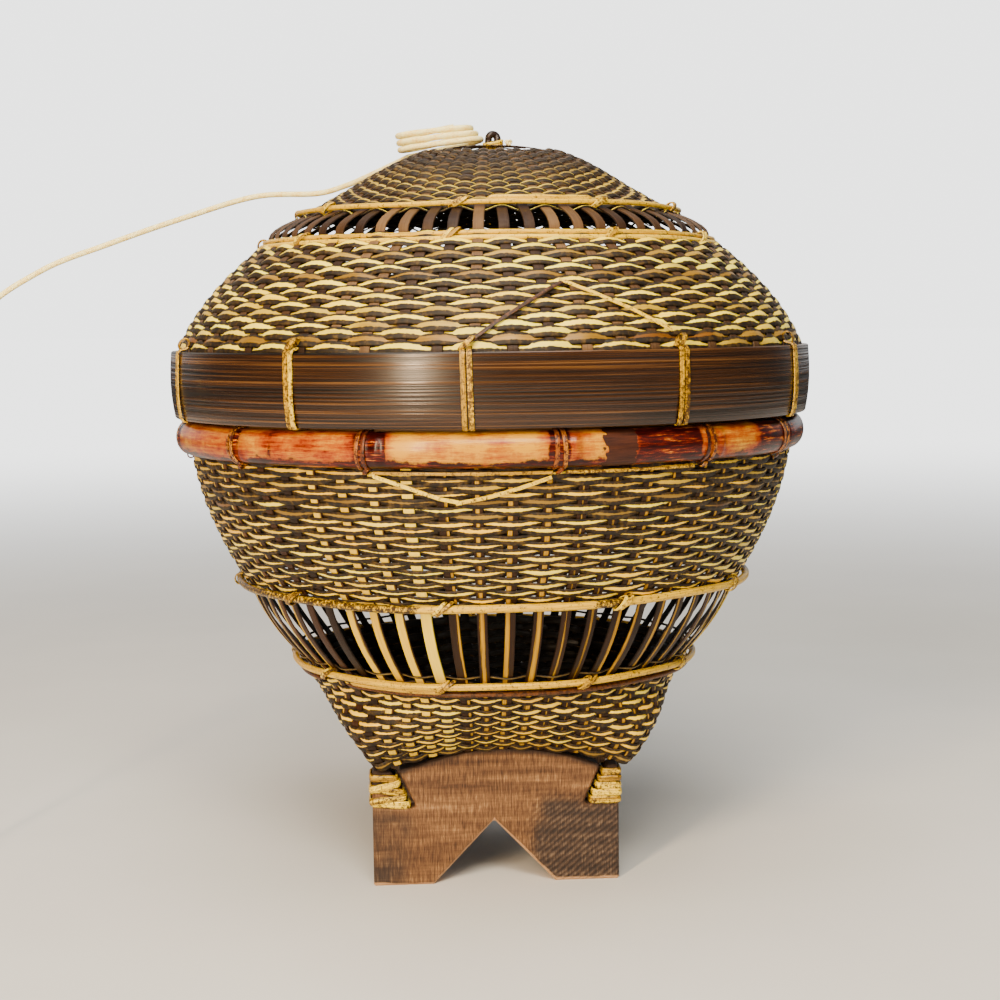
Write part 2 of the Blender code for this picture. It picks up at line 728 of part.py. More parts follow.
def make_rim_tie(i, turn):
    """One cane tie bent over the rim hoop, at a bearing in degrees."""
    middle, half, flat = rim_axes()
    clear = GAP + STRAP_THICKNESS / 2.0
    path = []
    for k in range(7):
        angle = math.radians(-86.0 + 172.0 * k / 6.0)
        reach = flat + (RIM_DEPTH + clear + FACET_GAP) * math.cos(angle)
        path.append((reach, middle + (half + clear) * math.sin(angle)))
    strap(f"rim_tie_{i + 1:02d}", path, RIM_TIE_WIDTH, "brown cane", None, turn)


def surface_line(profile, route, clear):
    """Points and normals just off the outer face, for a route of (bearing, height)."""
    rows = np.array(profile)
    points, normals = [], []
    for degrees, height in route:
        half = np.interp(height, rows[:, 1], rows[:, 0])
        step = 0.001
        fall = half - np.interp(height + step, rows[:, 1], rows[:, 0])
        turn = math.radians(degrees)
        length = math.hypot(step, fall)
        out, up = step / length, fall / length
        normal = np.array([out * math.sin(turn), -out * math.cos(turn), up])
        base = np.array([half * math.sin(turn), -half * math.cos(turn), height])
        points.append(base + normal * clear)
        normals.append(normal)
    return np.array(points), np.array(normals)


def chevron_route(first, peak, last, steps=5):
    """A bent line of (bearing, height) from one foot to the peak and to the other foot."""
    route = []
    for a, b in ((first, peak), (peak, last)):
        for k in range(steps):
            share = k / steps
            route.append((a[0] + (b[0] - a[0]) * share, a[1] + (b[1] - a[1]) * share))
    return route + [last]


def make_rim_chevron():
    """A pale cane strip that dips from one rim tie to a knot and up to the next."""
    first = RIM_TIES[0] + RIM_CHEVRON_INSET
    last = RIM_TIES[1] - RIM_CHEVRON_INSET
    top = RIM_FOOT - RIM_CHEVRON_START
    route = chevron_route((first, top), ((first + last) / 2.0, top - RIM_CHEVRON_DROP), (last, top))
    line, normals = surface_line(upper_profile(), route, FACET_GAP)
    ribbon("rim_chevron", line, normals, CHEVRON_WIDTH, CHEVRON_THICKNESS, "gold cane", None)


def build_lid():
    """Everything that lifts off, under an empty at the height of the lid's seat."""
    seat = bpy.data.objects.new("lid_lift", None)
    seat_height = RIM_FOOT + RIM_HEIGHT + GAP + STRAP_THICKNESS + SEAT_GAP
    seat.location = (0.0, 0.0, seat_height)
    bpy.context.scene.collection.objects.link(seat)

    places = even_places()
    weave_out = lid_profile()[0][0]
    inner_out = weave_out - WALL - GAP
    inner_in = inner_out - LID_INNER_THICKNESS
    mesh_object("lid_band_inner", *turned([(inner_in, 0.0), (inner_out, 0.0), (inner_out, LID_BAND_HEIGHT),
                                           (inner_in, LID_BAND_HEIGHT)]), "dark bamboo", seat)
    profile = lid_profile()
    outer = rings(profile, places)
    inner = rings(inset_profile(profile, WALL), places)
    mesh_object("lid_weave", *shell(outer, inner), "gold cane", seat)

    band_in = weave_out + GAP
    band_out = band_in + LID_BAND_THICKNESS
    mesh_object("lid_band_outer", *turned([
        (band_in, 0.0), (band_out - LID_BAND_TAPER, 0.0), (band_out + LID_BAND_BARREL, LID_BAND_HEIGHT * 0.3),
        (band_out + LID_BAND_BARREL, LID_BAND_HEIGHT * 0.7), (band_out, LID_BAND_HEIGHT), (band_in, LID_BAND_HEIGHT),
    ]), "dark bamboo", seat)
    for i, turn in enumerate(BAND_TIES):
        make_band_tie(i, turn, band_in, band_out, seat)

    make_stake_band("lid_stakes", lid_band_profile(), LID_STAKE_WIDTH, "brown cane", seat)
    make_lid_hoops(seat)

    crown = crown_profile()
    outer = rings(crown, places)
    inner = rings(inset_profile(crown, WALL), places)
    centre = CROWN_MAT_HEIGHT + CROWN_DOME
    tips = ((0.0, 0.0, centre), (0.0, 0.0, centre - WALL))
    mesh_object("lid_crown", *shell(outer, inner, tip=tips), "gold cane", seat)
    make_lid_chevron(seat)
    make_loop(seat)
    return seat


def lid_band_profile():
    """Outer face of the lid's bare stakes: behind the weaves at both ends, bowed between."""
    low, high = band_ends(lid_profile(), crown_profile(), LID_STAKE_REACH)
    middle = (low[1][0] + high[0][0]) / 2.0 + LID_BAND_BOW
    return low + [(middle, (low[1][1] + high[0][1]) / 2.0, 0.0)] + high


def off_surface(profile, height, clear):
    """Radius and height of a point a clearance off the outer face, at a height on it."""
    rows = np.array(sorted((row[1], row[0]) for row in profile))
    half = np.interp(height, rows[:, 0], rows[:, 1])
    step = 0.0005
    fall = half - np.interp(height + step, rows[:, 0], rows[:, 1])
    if height + step > rows[-1, 0]:
        fall = np.interp(height - step, rows[:, 0], rows[:, 1]) - half
    length = math.hypot(step, fall)
    return float(half + clear * step / length), float(height + clear * fall / length)


def make_lid_hoops(seat):
    """Two canes under the lid's open band and one above it."""
    clear = LID_CANE / 2.0 + FACET_GAP
    apart = (LID_CANE + TIE_THICKNESS + GAP) * LID_CANE_CLOSENESS
    low, high = LID_WAIST_LOW - LID_CANE / 2.0, LID_WAIST_HIGH + LID_CANE / 2.0
    hoop("lid_hoop_lower", *off_surface(lid_profile(), low, clear), LID_CANE, LID_LOW_TIES, "gold cane", seat)
    hoop("lid_hoop_second", *off_surface(lid_profile(), low - apart, clear), LID_CANE, [], "gold cane", seat)
    hoop("lid_hoop_upper", *off_surface(crown_profile(), high, clear), LID_CANE, LID_HIGH_TIES, "gold cane", seat)


def make_band_tie(i, turn, band_in, band_out, seat):
    """One cane strip over the lid's outer band at a bearing, turned in above and below."""
    clear = GAP + STRAP_THICKNESS / 2.0
    face = band_out + LID_BAND_BARREL + clear
    inset = band_in + GAP + STRAP_THICKNESS / 2.0
    path = [
        (inset, -clear), (band_out - CHAMFER, -clear), (band_out + clear, LID_BAND_HEIGHT * 0.06),
        (face, LID_BAND_HEIGHT * 0.3), (face, LID_BAND_HEIGHT * 0.7), (band_out + clear, LID_BAND_HEIGHT + clear * 0.3),
        (band_out - CHAMFER, LID_BAND_HEIGHT + clear), (inset, LID_BAND_HEIGHT + clear),
    ]
    strap(f"lid_tie_{i + 1:02d}", path, BAND_TIE_WIDTH, "gold cane", seat, turn)


def make_lid_chevron(seat):
    """A cane strip that rises from one band tie to a peak and falls to the next."""
    first = BAND_TIES[0] + LID_CHEVRON_INSET
    last = BAND_TIES[1] - LID_CHEVRON_INSET
    peak = ((first + last) / 2.0, LID_BAND_HEIGHT + LID_CHEVRON_PEAK)
    start = (first, LID_BAND_HEIGHT + LID_CHEVRON_START)
    route = chevron_route(start, peak, (last, LID_BAND_HEIGHT + LID_CHEVRON_END))
    line, normals = surface_line(lid_profile(), route, FACET_GAP + GAP)
    ribbon("lid_chevron", line, normals, CHEVRON_WIDTH, CHEVRON_THICKNESS, "brown cane", seat)


def make_loop(seat):
    """The upright cane loop at the top of the lid."""
    foot = CROWN_MAT_HEIGHT + CROWN_DOME + FACET_GAP
    rise = LOOP_HEIGHT - LOOP_CANE / 2.0
    line = [(LOOP_HALF_WIDTH, 0.0, foot)]
    for k in range(9):
        angle = math.pi * k / 8.0
        drop = LOOP_HALF_WIDTH * (1.0 - math.sin(angle))
        line.append((LOOP_HALF_WIDTH * math.cos(angle), 0.0, foot + rise - drop))
    line.append((-LOOP_HALF_WIDTH, 0.0, foot))
    tube_object("crown_loop", line, LOOP_CANE / 2.0, "brown cane", seat)


def hank_line():
    """Long loops of cord piled on each other from the top down, in lid heights.

    Each loop is two runs joined by half circles, the larger one away from the crown
    loop. The line starts at the near end of a front run. Every point moves on down the
    pile, which is looser at its far end, and each loop reaches further in than the last.
    """
    long_axis = np.array(HANK_LONG_AXIS) / np.linalg.norm(HANK_LONG_AXIS)
    upright = np.array((0.0, 0.0, 1.0)) - long_axis * long_axis[2]
    upright /= np.linalg.norm(upright)
    wide_axis = np.cross(long_axis, upright)
    lean = math.radians(HANK_LEAN)
    pile = upright * math.cos(lean) - wide_axis * math.sin(lean)
    middle = np.array([*HANK_CENTRE, CROWN_MAT_HEIGHT + HANK_RISE])
    quarter = HANK_POINTS // 4
    total = round(HANK_TURNS * HANK_POINTS)
    points = []
    for k in range(total + 1):
        part, step = divmod((k + quarter) % HANK_POINTS, quarter)
        share = step / quarter
        sign = 1.0 if part < 2 else -1.0
        if part % 2 == 0:
            radius = HANK_NEAR_RADIUS if part == 0 else HANK_FAR_RADIUS
            angle = math.pi * (share - 0.5)
            along = sign * (HANK_HALF_LENGTH + radius * math.cos(angle))
            across = sign * radius * math.sin(angle)
        else:
            ends = (HANK_NEAR_RADIUS, HANK_FAR_RADIUS) if part == 1 else (HANK_FAR_RADIUS, HANK_NEAR_RADIUS)
            along = sign * HANK_HALF_LENGTH * (1.0 - 2.0 * share)
            across = sign * (ends[0] + (ends[1] - ends[0]) * share)
        height = HANK_TURNS * (0.5 - k / total)
        nearness = 0.5 + along / 2.0 / (HANK_HALF_LENGTH + HANK_FAR_RADIUS)
        stack = height * (HANK_PITCH_FAR + (HANK_PITCH_NEAR - HANK_PITCH_FAR) * nearness)
        along -= HANK_STAGGER * height * nearness
        points.append(middle + long_axis * along + wide_axis * across + pile * stack)
    leave = points[-1] - points[-2]
    points.append(points[-1] + leave / np.linalg.norm(leave) * CORD)
    return np.array(points)


def least_gap(points, diameter, turn_points):
    """Smallest free space between a winding and itself, a half turn or more apart."""
    fine = points
    best = math.inf
    for k in range(len(fine)):
        far = fine[k + turn_points // 2 :]
        if len(far):
            best = min(best, float(np.linalg.norm(far - fine[k], axis=1).min()))
    return best - diameter


def build_cord(seat):
    """The hank on the crown and the free end of the cord, both lifted with the lid."""
    line = hank_line()
    print(f"hank: least gap to itself {1000 * least_gap(line, CORD, HANK_POINTS):.2f} mm")
    tube_object("cord_hank", line, CORD / 2.0, "pale cord", seat, fineness=1)
    seat_lift = np.array(seat.location)
    last, before = line[-1], line[-2]
    leave = (last - before) / np.linalg.norm(last - before)
    start = last + leave * CORD_FIRST_GAP + seat_lift
    route = [start + leave * CORD] + [np.array(p) for p in TAIL_ROUTE]
    tail = np.concatenate([[start], smooth_line(route, TAIL_SPACING)])
    tail[:, 2] = np.maximum(tail[:, 2], CORD / 2.0 + GAP)
    print(f"free end of the cord: {np.linalg.norm(np.diff(tail, axis=0), axis=1).sum():.3f} m")
    tube_object("cord_tail", tail - seat_lift, CORD / 2.0, "pale cord", seat)


clear_scene()
build_body()
lid_seat = build_lid()
build_cord(lid_seat)
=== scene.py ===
# %% [markdown]
# # A lidded fishing basket of woven cane
# The basket is square at the foot and round at the rim. It stands on two notched
# boards, and its domed lid drops over a bamboo neck. This file dresses the packed
# model: each cell makes one kind of piece or finish.

import math
from functools import partial

import bpy
import numpy as np
from mathutils import Matrix


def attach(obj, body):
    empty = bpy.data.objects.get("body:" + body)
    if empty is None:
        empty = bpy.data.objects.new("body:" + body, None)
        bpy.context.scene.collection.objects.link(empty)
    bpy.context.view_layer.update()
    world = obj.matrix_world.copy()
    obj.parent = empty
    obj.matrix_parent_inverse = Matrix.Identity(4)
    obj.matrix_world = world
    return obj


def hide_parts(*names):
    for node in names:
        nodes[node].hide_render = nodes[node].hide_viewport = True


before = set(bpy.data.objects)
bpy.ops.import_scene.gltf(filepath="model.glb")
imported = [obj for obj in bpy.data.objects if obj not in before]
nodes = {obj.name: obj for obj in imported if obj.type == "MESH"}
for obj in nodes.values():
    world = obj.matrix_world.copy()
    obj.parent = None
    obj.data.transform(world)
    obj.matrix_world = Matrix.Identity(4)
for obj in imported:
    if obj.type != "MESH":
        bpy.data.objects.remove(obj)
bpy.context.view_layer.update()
rng = np.random.default_rng(11)
print("CAD nodes:", len(nodes))


# %% [markdown]
# The camera stands a little to the left of the basket's front, slightly above its
# middle, and looks down a few degrees. A long lens keeps the foot boards and the rim
# in the proportions of the photograph.

# %% Camera
CAMERA_DISTANCE, CAMERA_HEIGHT = 0.890, 0.2587
CAMERA_BEARING = math.radians(-3.6)
CAMERA_YAW, CAMERA_PITCH, CAMERA_ROLL = (math.radians(a) for a in (-0.25, 5.52, -0.7))

lens = bpy.data.cameras.new("camera")
lens.sensor_width = 36.0
lens.lens = 66.24
camera = bpy.data.objects.new("camera", lens)
bpy.context.scene.collection.objects.link(camera)
aside, ahead = math.sin(CAMERA_BEARING), -math.cos(CAMERA_BEARING)
camera.matrix_world = (
    Matrix.Translation((CAMERA_DISTANCE * aside, CAMERA_DISTANCE * ahead, CAMERA_HEIGHT))
    @ Matrix.Rotation(CAMERA_BEARING + CAMERA_YAW, 4, "Z")
    @ Matrix.Rotation(math.pi / 2.0 - CAMERA_PITCH, 4, "X")
    @ Matrix.Rotation(CAMERA_ROLL, 4, "Z")
)
bpy.context.scene.camera = camera
print("camera at", [round(v, 3) for v in camera.matrix_world.translation])


# %% [markdown]
# Every finish is built from shader nodes. One function adds a node with its settings
# and links, and one turns hex colours into the linear values that the shader wants.
# The others join what most finishes share: values that a mesh carries for its points,
# noise drawn out along the fibres, and the last links to the shader.

# %% Finish helpers
OBJECT = 3
# Near-black of the cane's inner side: partly smoke, partly painted shade of the inside.
SOOT_AND_SHADE = "0A0603"
MODES = {
    "Math": ("operation", "MULTIPLY_ADD"), "VectorMath": ("operation", "LENGTH"), "Mix": ("data_type", "RGBA"),
    "MapRange": ("interpolation_type", "LINEAR"), "Attribute": ("attribute_name", "cane"),
}


def tint(text):
    """Linear red, green, blue and opacity of an sRGB hex colour.

    Below 0.04045 a channel is divided by 12.92, above it is ((c + 0.055) / 1.055)^2.4.
    """
    channels = np.array([int(text[i:i + 2], 16) for i in (0, 2, 4)]) / 255.0
    linear = np.where(channels <= 0.04045, channels / 12.92, ((channels + 0.055) / 1.055) ** 2.4)
    return (*linear.tolist(), 1.0)


def feed(node, feeds):
    """Link each input of a node to its socket, or set it to its plain value."""
    for key, value in feeds.items():
        if isinstance(value, bpy.types.NodeSocket):
            node.id_data.links.new(value, node.inputs[key])
        else:
            node.inputs[key].default_value = value


def add_node(tree, kind, feeds=(), mode=None, take=0, stops=(), **named):
    """Add a shader node, set it, feed its inputs and return one of its outputs.

    feeds are the inputs in order, or by number, and named ones by name. mode is the
    setting that MODES lists for the kind, and stops are a colour ramp's (place, hex).
    """
    made = tree.nodes.new("ShaderNode" + kind)
    if kind in MODES:
        setattr(made, MODES[kind][0], mode or MODES[kind][1])
    if stops:
        marks = made.color_ramp.elements
        for mark, (place, text) in zip(marks, (stops[0], stops[-1])):
            mark.position, mark.color = place, tint(text)
        for place, text in stops[1:-1]:
            marks.new(place).color = tint(text)
    feed(made, feeds if isinstance(feeds, dict) else dict(enumerate(feeds)))
    feed(made, named)
    return made.outputs[take]


def new_finish(name, constants):
    """A material, the function that adds its nodes, and its shader with the constants set."""
    finish = bpy.data.materials.new(name)
    finish.use_nodes = True
    shader = finish.node_tree.nodes["Principled BSDF"]
    feed(shader, constants)
    return finish, partial(add_node, finish.node_tree), shader


def point_values(add, name):
    """The four values that a mesh carries for each point, and the first three as a vector."""
    layer = add("Attribute", mode=name).node
    parts = add("SeparateColor", [layer.outputs[0]]).node
    return *parts.outputs[:3], layer.outputs[3], layer.outputs[1]


def fibres(add, where, scale, detail, rough=0.5):
    """Noise with so many waves to the metre along each axis."""
    return add("TexNoise", [add("Mapping", [where], Scale=scale)], Scale=1.0, Detail=detail, Roughness=rough)


def finish_surface(add, shader, colour, relief, strength, gloss=None, deep=0.0003):
    """Link the colour, a bump of the relief, and the roughness that gloss maps."""
    feed(shader, {"Base Color": colour, "Normal": add("Bump", Height=relief, Strength=strength, Distance=deep)})
    if gloss:
        feed(shader, {"Roughness": add("MapRange", gloss)})


# %% [markdown]
# The piece helpers put numpy arrays into meshes. A section carried along a line makes
# every cane, strip and cord of this basket, so that is the one way most pieces are
# made: the line gives the direction, a normal says which way the strip faces.

# %% Piece helpers
UP = (0.0, 0.0, 1.0)
SMALL_STEP = 2e-4
round_turn = math.pi - np.arange(10) * math.tau / 10
ROUND = np.stack([np.cos(round_turn), np.sin(round_turn)], axis=1) / 2.0
SPLINT = np.array([
    (-0.5, -0.05), (-0.36, 0.36), (0.0, 0.5), (0.36, 0.36), (0.5, -0.05), (0.32, -0.5), (-0.32, -0.5),
])
FLAT = np.array([(-0.5, -0.3), (-0.44, 0.3), (0.0, 0.5), (0.44, 0.3), (0.5, -0.3), (0.0, -0.5)])


def unit(vectors):
    """Vectors of length one."""
    return vectors / np.maximum(np.linalg.norm(vectors, axis=-1, keepdims=True), 1e-12)


def points_of(x, y, z):
    """Points from three coordinates whose shapes fit together."""
    return np.stack(np.broadcast_arrays(x, y, z), axis=-1)


def polar(radius, bearing, height):
    """Points (radius sin b, -radius cos b, height), so that bearing 0 is the front."""
    return points_of(radius * np.sin(bearing), -radius * np.cos(bearing), height)


def carry(lines, normals, section, width, depth, closed=False):
    """Carry a section along lines, all at once.

    lines and normals are (pieces, stations, 3). T is the line's direction, B = T x N,
    and a point is line + B x width + N y depth for each (x, y) of the section.
    """
    if closed:
        direction = np.roll(lines, -1, axis=1) - np.roll(lines, 1, axis=1)
    else:
        direction = np.gradient(lines, axis=1)
    direction = unit(direction)
    facing = unit(normals - direction * np.sum(normals * direction, axis=-1, keepdims=True))
    side = np.cross(direction, facing)
    width = np.broadcast_to(width, lines.shape[:2])[..., None, None]
    depth = np.broadcast_to(depth, lines.shape[:2])[..., None, None]
    x, y = section[:, 0][:, None], section[:, 1][:, None]
    return lines[:, :, None] + side[:, :, None] * x * width + facing[:, :, None] * y * depth


def carried_faces(pieces, stations, around, closed=False):
    """Faces of carried sections: quads between neighbours, and end caps on open lines."""
    spans = stations if closed else stations - 1
    p, here, near = np.meshgrid(np.arange(pieces), np.arange(spans), np.arange(around), indexing="ij")
    there, far = (here + 1) % stations, (near + 1) % around
    corners = ((here, near), (here, far), (there, far), (there, near))
    quads = np.stack([(p * stations + station) * around + turn for station, turn in corners], axis=-1)
    faces = quads.reshape(-1, 4).tolist()
    if not closed:
        first = np.arange(pieces)[:, None] * stations * around + np.arange(around)[::-1]
        faces += first.tolist()
        faces += (first[:, ::-1] + (stations - 1) * around).tolist()
    return faces


def make_piece(name, points, faces, finish, body, covers=(), slot=None, crease=None, **layers):
    """A mesh piece with its values for each point, riding on a body of the frame."""
    mesh = bpy.data.meshes.new(name)
    mesh.from_pydata(points.reshape(-1, 3), [], faces)
    for layer, values in layers.items():
        mesh.attributes.new(layer, "FLOAT_COLOR", "POINT").data.foreach_set("color", np.float32(values).ravel())
    mesh.shade_smooth()
    if crease:
        mesh.set_sharp_from_angle(angle=math.radians(crease))
    mesh.materials.append(finish)
    piece = bpy.data.objects.new(name, mesh)
    bpy.context.scene.collection.objects.link(piece)
    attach(piece, body)
    if covers:
        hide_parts(*covers)
    return piece


def layer_of(shape, *values):
    """Values spread over all points of a shape, side by side."""
    return np.stack([np.broadcast_to(value, shape) for value in values], axis=-1).reshape(-1, len(values))


def carried_piece(name, lines, normals, section, width, depth, finish, body, covers=(), slot="gold_cane",
                  tone=(0.0,), extra=0.0, closed=False, crease=None, **layers):
    """A piece of carried sections. Its cane layer is (metres along, share across, tone, extra)."""
    steps = np.linalg.norm(np.diff(lines, axis=1), axis=-1)
    along = np.concatenate([np.zeros((len(lines), 1)), np.cumsum(steps, axis=1)], axis=1)
    tone, extra = np.asarray(tone)[:, None, None], np.asarray(extra)
    extra = extra[:, :, None] if extra.ndim == 2 else extra
    shape = (*lines.shape[:2], len(section))
    return make_piece(
        name, carry(lines, normals, section, width, depth, closed), carried_faces(*shape, closed), finish, body,
        covers, slot, crease, **layers, cane=layer_of(shape, along[:, :, None], section[:, 0] + 0.5, tone, extra),
    )


# %% [markdown]
# The cord is a cream cord of plant fibre. A small hank of it lies on the crown beside
# the cane loop, and its free end leaves over the shoulder of the lid, out of the
# picture on the left. Its line repeats the one that the CAD model follows.

# %% Line of the cord
SEAT = 0.2160
CORD = 0.0028
HANK_TURNS, HANK_POINTS = 3.25, 24
HANK_PITCH_FAR, HANK_PITCH_NEAR = 0.0034, 0.0030
HANK_HALF_LENGTH, HANK_STAGGER = 0.0108, 0.0020
HANK_NEAR_RADIUS, HANK_FAR_RADIUS = 0.0068, 0.0082
HANK_CENTRE = np.array((-0.0232, 0.0045, 0.1305 + SEAT))
HANK_AXIS, HANK_LEAN = (0.975, -0.05, 0.15), math.radians(6.0)
TAIL_ROUTE = np.array([
    (-50.5, 20.5, 333.2), (-59.0, 28.5, 330.0), (-69.0, 36.0, 326.6), (-83.0, 43.5, 323.6), (-113.4, 50.0, 322.8),
    (-148.4, 45.0, 312.4), (-184.5, 35.0, 299.4), (-218.0, 30.0, 286.0), (-247.0, 26.0, 264.0),
    (-261.0, 23.0, 225.0), (-265.0, 22.0, 165.0), (-265.0, 22.0, 95.0), (-264.0, 19.0, 40.0),
    (-263.0, 5.0, 11.0), (-262.0, -17.0, 3.0), (-261.0, -45.0, 2.0), (-260.0, -73.0, 2.0),
]) / 1000.0


def hank_line():
    """Long loops piled from the top down: two straight runs joined by half circles.

    Along and across trace the loop; each turn lies a pitch lower than the last, less at
    the near end, and reaches a little further in.
    """
    long_axis = unit(np.array(HANK_AXIS))
    upright = unit(UP - long_axis * long_axis[2])
    wide_axis = np.cross(long_axis, upright)
    pile = upright * math.cos(HANK_LEAN) - wide_axis * math.sin(HANK_LEAN)
    quarter = HANK_POINTS // 4
    total = round(HANK_TURNS * HANK_POINTS)
    k = np.arange(total + 1)
    part, share = ((k + quarter) % HANK_POINTS) // quarter, (k % quarter) / quarter
    sign = np.where(part < 2, 1.0, -1.0)
    radius = np.where(part == 0, HANK_NEAR_RADIUS, HANK_FAR_RADIUS)
    angle = math.pi * (share - 0.5)
    bend = part % 2 == 0
    start = np.where(part == 1, HANK_NEAR_RADIUS, HANK_FAR_RADIUS)
    end = np.where(part == 1, HANK_FAR_RADIUS, HANK_NEAR_RADIUS)
    straight = HANK_HALF_LENGTH * (1.0 - 2.0 * share)
    along = sign * np.where(bend, HANK_HALF_LENGTH + radius * np.cos(angle), straight)
    across = -sign * np.where(bend, radius * np.sin(angle), start + (end - start) * share)
    turns = HANK_TURNS * (0.5 - k / total)
    near = 0.5 + along / 2.0 / (HANK_HALF_LENGTH + HANK_FAR_RADIUS)
    stack = turns * (HANK_PITCH_FAR + (HANK_PITCH_NEAR - HANK_PITCH_FAR) * near)
    along = along - HANK_STAGGER * turns * near
    return HANK_CENTRE + np.outer(along, long_axis) + np.outer(across, wide_axis) + np.outer(stack, pile)


def smooth_line(route, spacing):
    """Even points on the Catmull-Rom curve through a route.

    Between b and c it is half of 2b + (c-a)t + (2a-5b+4c-d)t^2 + (3b-a-3c+d)t^3.
    """
    padded = np.concatenate([[2 * route[0] - route[1]], route, [2 * route[-1] - route[-2]]])
    a, b, c, d = (padded[i:len(route) - 1 + i, None] for i in range(4))
    t = np.linspace(0.0, 1.0, 20, endpoint=False)[None, :, None]
    fine = 0.5 * (2 * b + (c - a) * t + (2 * a - 5 * b + 4 * c - d) * t**2 + (3 * b - a - 3 * c + d) * t**3)
    fine = np.concatenate([fine.reshape(-1, 3), route[-1:]])
    travelled = np.concatenate([[0.0], np.cumsum(np.linalg.norm(np.diff(fine, axis=0), axis=1))])
    marks = np.linspace(0.0, travelled[-1], max(2, round(travelled[-1] / spacing) + 1))
    return np.stack([np.interp(marks, travelled, fine[:, k]) for k in range(3)], axis=1)


hank = hank_line()
leave = unit(hank[-1] - hank[-2])
tail = smooth_line(np.vstack([hank[-1] + leave * 0.0059, TAIL_ROUTE]), 0.0042)
tail[:, 2] = np.maximum(tail[:, 2], CORD / 2.0 + 0.0003)
cord_line = smooth_line(np.vstack([hank, hank[-1] + leave * 0.0030, tail]), 0.0015)

# %% [markdown]
# Cream plant-fibre cord, laid from two strands: dull and a little hairy. Dark lines in
# the lay are painted shade in the grooves between the strands. The lay is drawn from
# the length along the cord and the turn round it.

# %% Cord finish and cord
finish_cord, add, shader = new_finish("smooth plant-fibre cord", {"Roughness": 0.7, "Sheen Weight": 0.2})
along, across, *_ = point_values(add, "cane")
lay = add("Math", [along, 700.0], "MULTIPLY")
wave = add("Math", [add("Math", [across, math.tau, lay])], "SINE")
fluff = add("TexNoise", [add("TexCoord", take=OBJECT)], Scale=900.0, Detail=4.0)
# The lay's wave darkens the grooves: painted shade, with fibre noise over it.
twist = add("Math", [wave, 0.10, fluff])
hue = add("ValToRGB", [twist], stops=[(0.25, "F4D478"), (0.5, "FFF0A0"), (0.75, "FFFABC")])
finish_surface(add, shader, hue, twist, 0.3)

cord = carried_piece(
    "cord", cord_line[None], (0.0, -0.35, 1.0), ROUND, CORD, CORD, finish_cord, "lid", ("cord_hank", "cord_tail"),
    "pale_cord",
)


# %% [markdown]
# The walls are one surface for each body: a circle at the rim that is drawn out to a
# rounded square at the foot. A place runs from 0 to 4 round the four sides, and a
# level climbs the wall. These formulas are the ones that the CAD model follows.

# %% The walls as surfaces
STAKES, PER_SIDE = 60, 15
WALL = 0.0024
FOOT_HALF, WAIST_HALF, SHOULDER_HALF, TOP_HALF = 0.0615, 0.0942, 0.1182, 0.1427
WALL_LOW, WALL_WAIST, WALL_SHOULDER, WALL_TOP = 0.0545, 0.1005, 0.1370, 0.2140
FOOT_ARCH = 0.0096
LID_HALF, LID_BAND_LOW, LID_BAND_HIGH, LID_TOP_HALF = 0.1483, 0.1055, 0.0898, 0.0320


def outline(place, half, squareness, height):
    """A level of the basket: x = half r sin b, y = -half r cos b at the bearing b.

    b mixes even steps along a square's side with even steps round a circle, and
    r = (|cos b|^n + |sin b|^n)^(-1/n), where n grows from 2 as the level gets square.
    """
    side = np.floor(place + 1e-9)
    along = 2.0 * (place - side) - 1.0
    bearing = side * math.pi / 2.0 + squareness * np.arctan(along) + (1.0 - squareness) * along * math.pi / 4.0
    power = 2.0 + 12.0 * squareness
    reach = (np.abs(np.cos(bearing)) ** power + np.abs(np.sin(bearing)) ** power) ** (-1.0 / power)
    return polar(half * reach, bearing, height)


def bow(t):
    """A rise from 0 to 1 and back: 4 t (1 - t)."""
    return 4.0 * t * (1.0 - t)


def body_wall(place, level):
    """Middle of the body's wall: level 0 to 1 the lower weave, to 2 the open band, to 3 the rim.

    The lower half width grows in line from foot to waist with a bulge s^2 (1-s), the
    band and the upper wall bow by 4 t (1-t), and the foot edge rises as 1 - along^2.
    """
    place, level = np.broadcast_arrays(np.asarray(place, float), np.asarray(level, float))
    s, t, u = np.minimum(level, 1.0), np.clip(level - 1.0, 0.0, 1.0), np.maximum(level - 2.0, 0.0)
    v = np.clip((WALL_TOP - WALL_SHOULDER) * u / 0.0595, 0.0, 1.0)
    lower = FOOT_HALF + (WAIST_HALF - FOOT_HALF) * s + 0.0020 * s**2 * (1.0 - s) * 6.75
    band = WAIST_HALF + (SHOULDER_HALF - WAIST_HALF) * t + 0.0032 * bow(t)
    upper = SHOULDER_HALF + (TOP_HALF - SHOULDER_HALF) * v + 0.0036 * bow(v)
    half = np.where(level < 1.0, lower, np.where(level < 2.0, band, upper)) - WALL / 2.0
    height = WALL_LOW + (WALL_WAIST - WALL_LOW) * s + (WALL_SHOULDER - WALL_WAIST) * t
    along = 2.0 * (place - np.floor(place + 1e-9)) - 1.0
    height = height + (WALL_TOP - WALL_SHOULDER) * u + np.clip(1.0 - s, 0.0, 2.0) ** 2 * FOOT_ARCH * (1.0 - along**2)
    return outline(place, half, np.clip(1.0 - s / 0.82, 0.0, 1.2) ** 2.2, height)


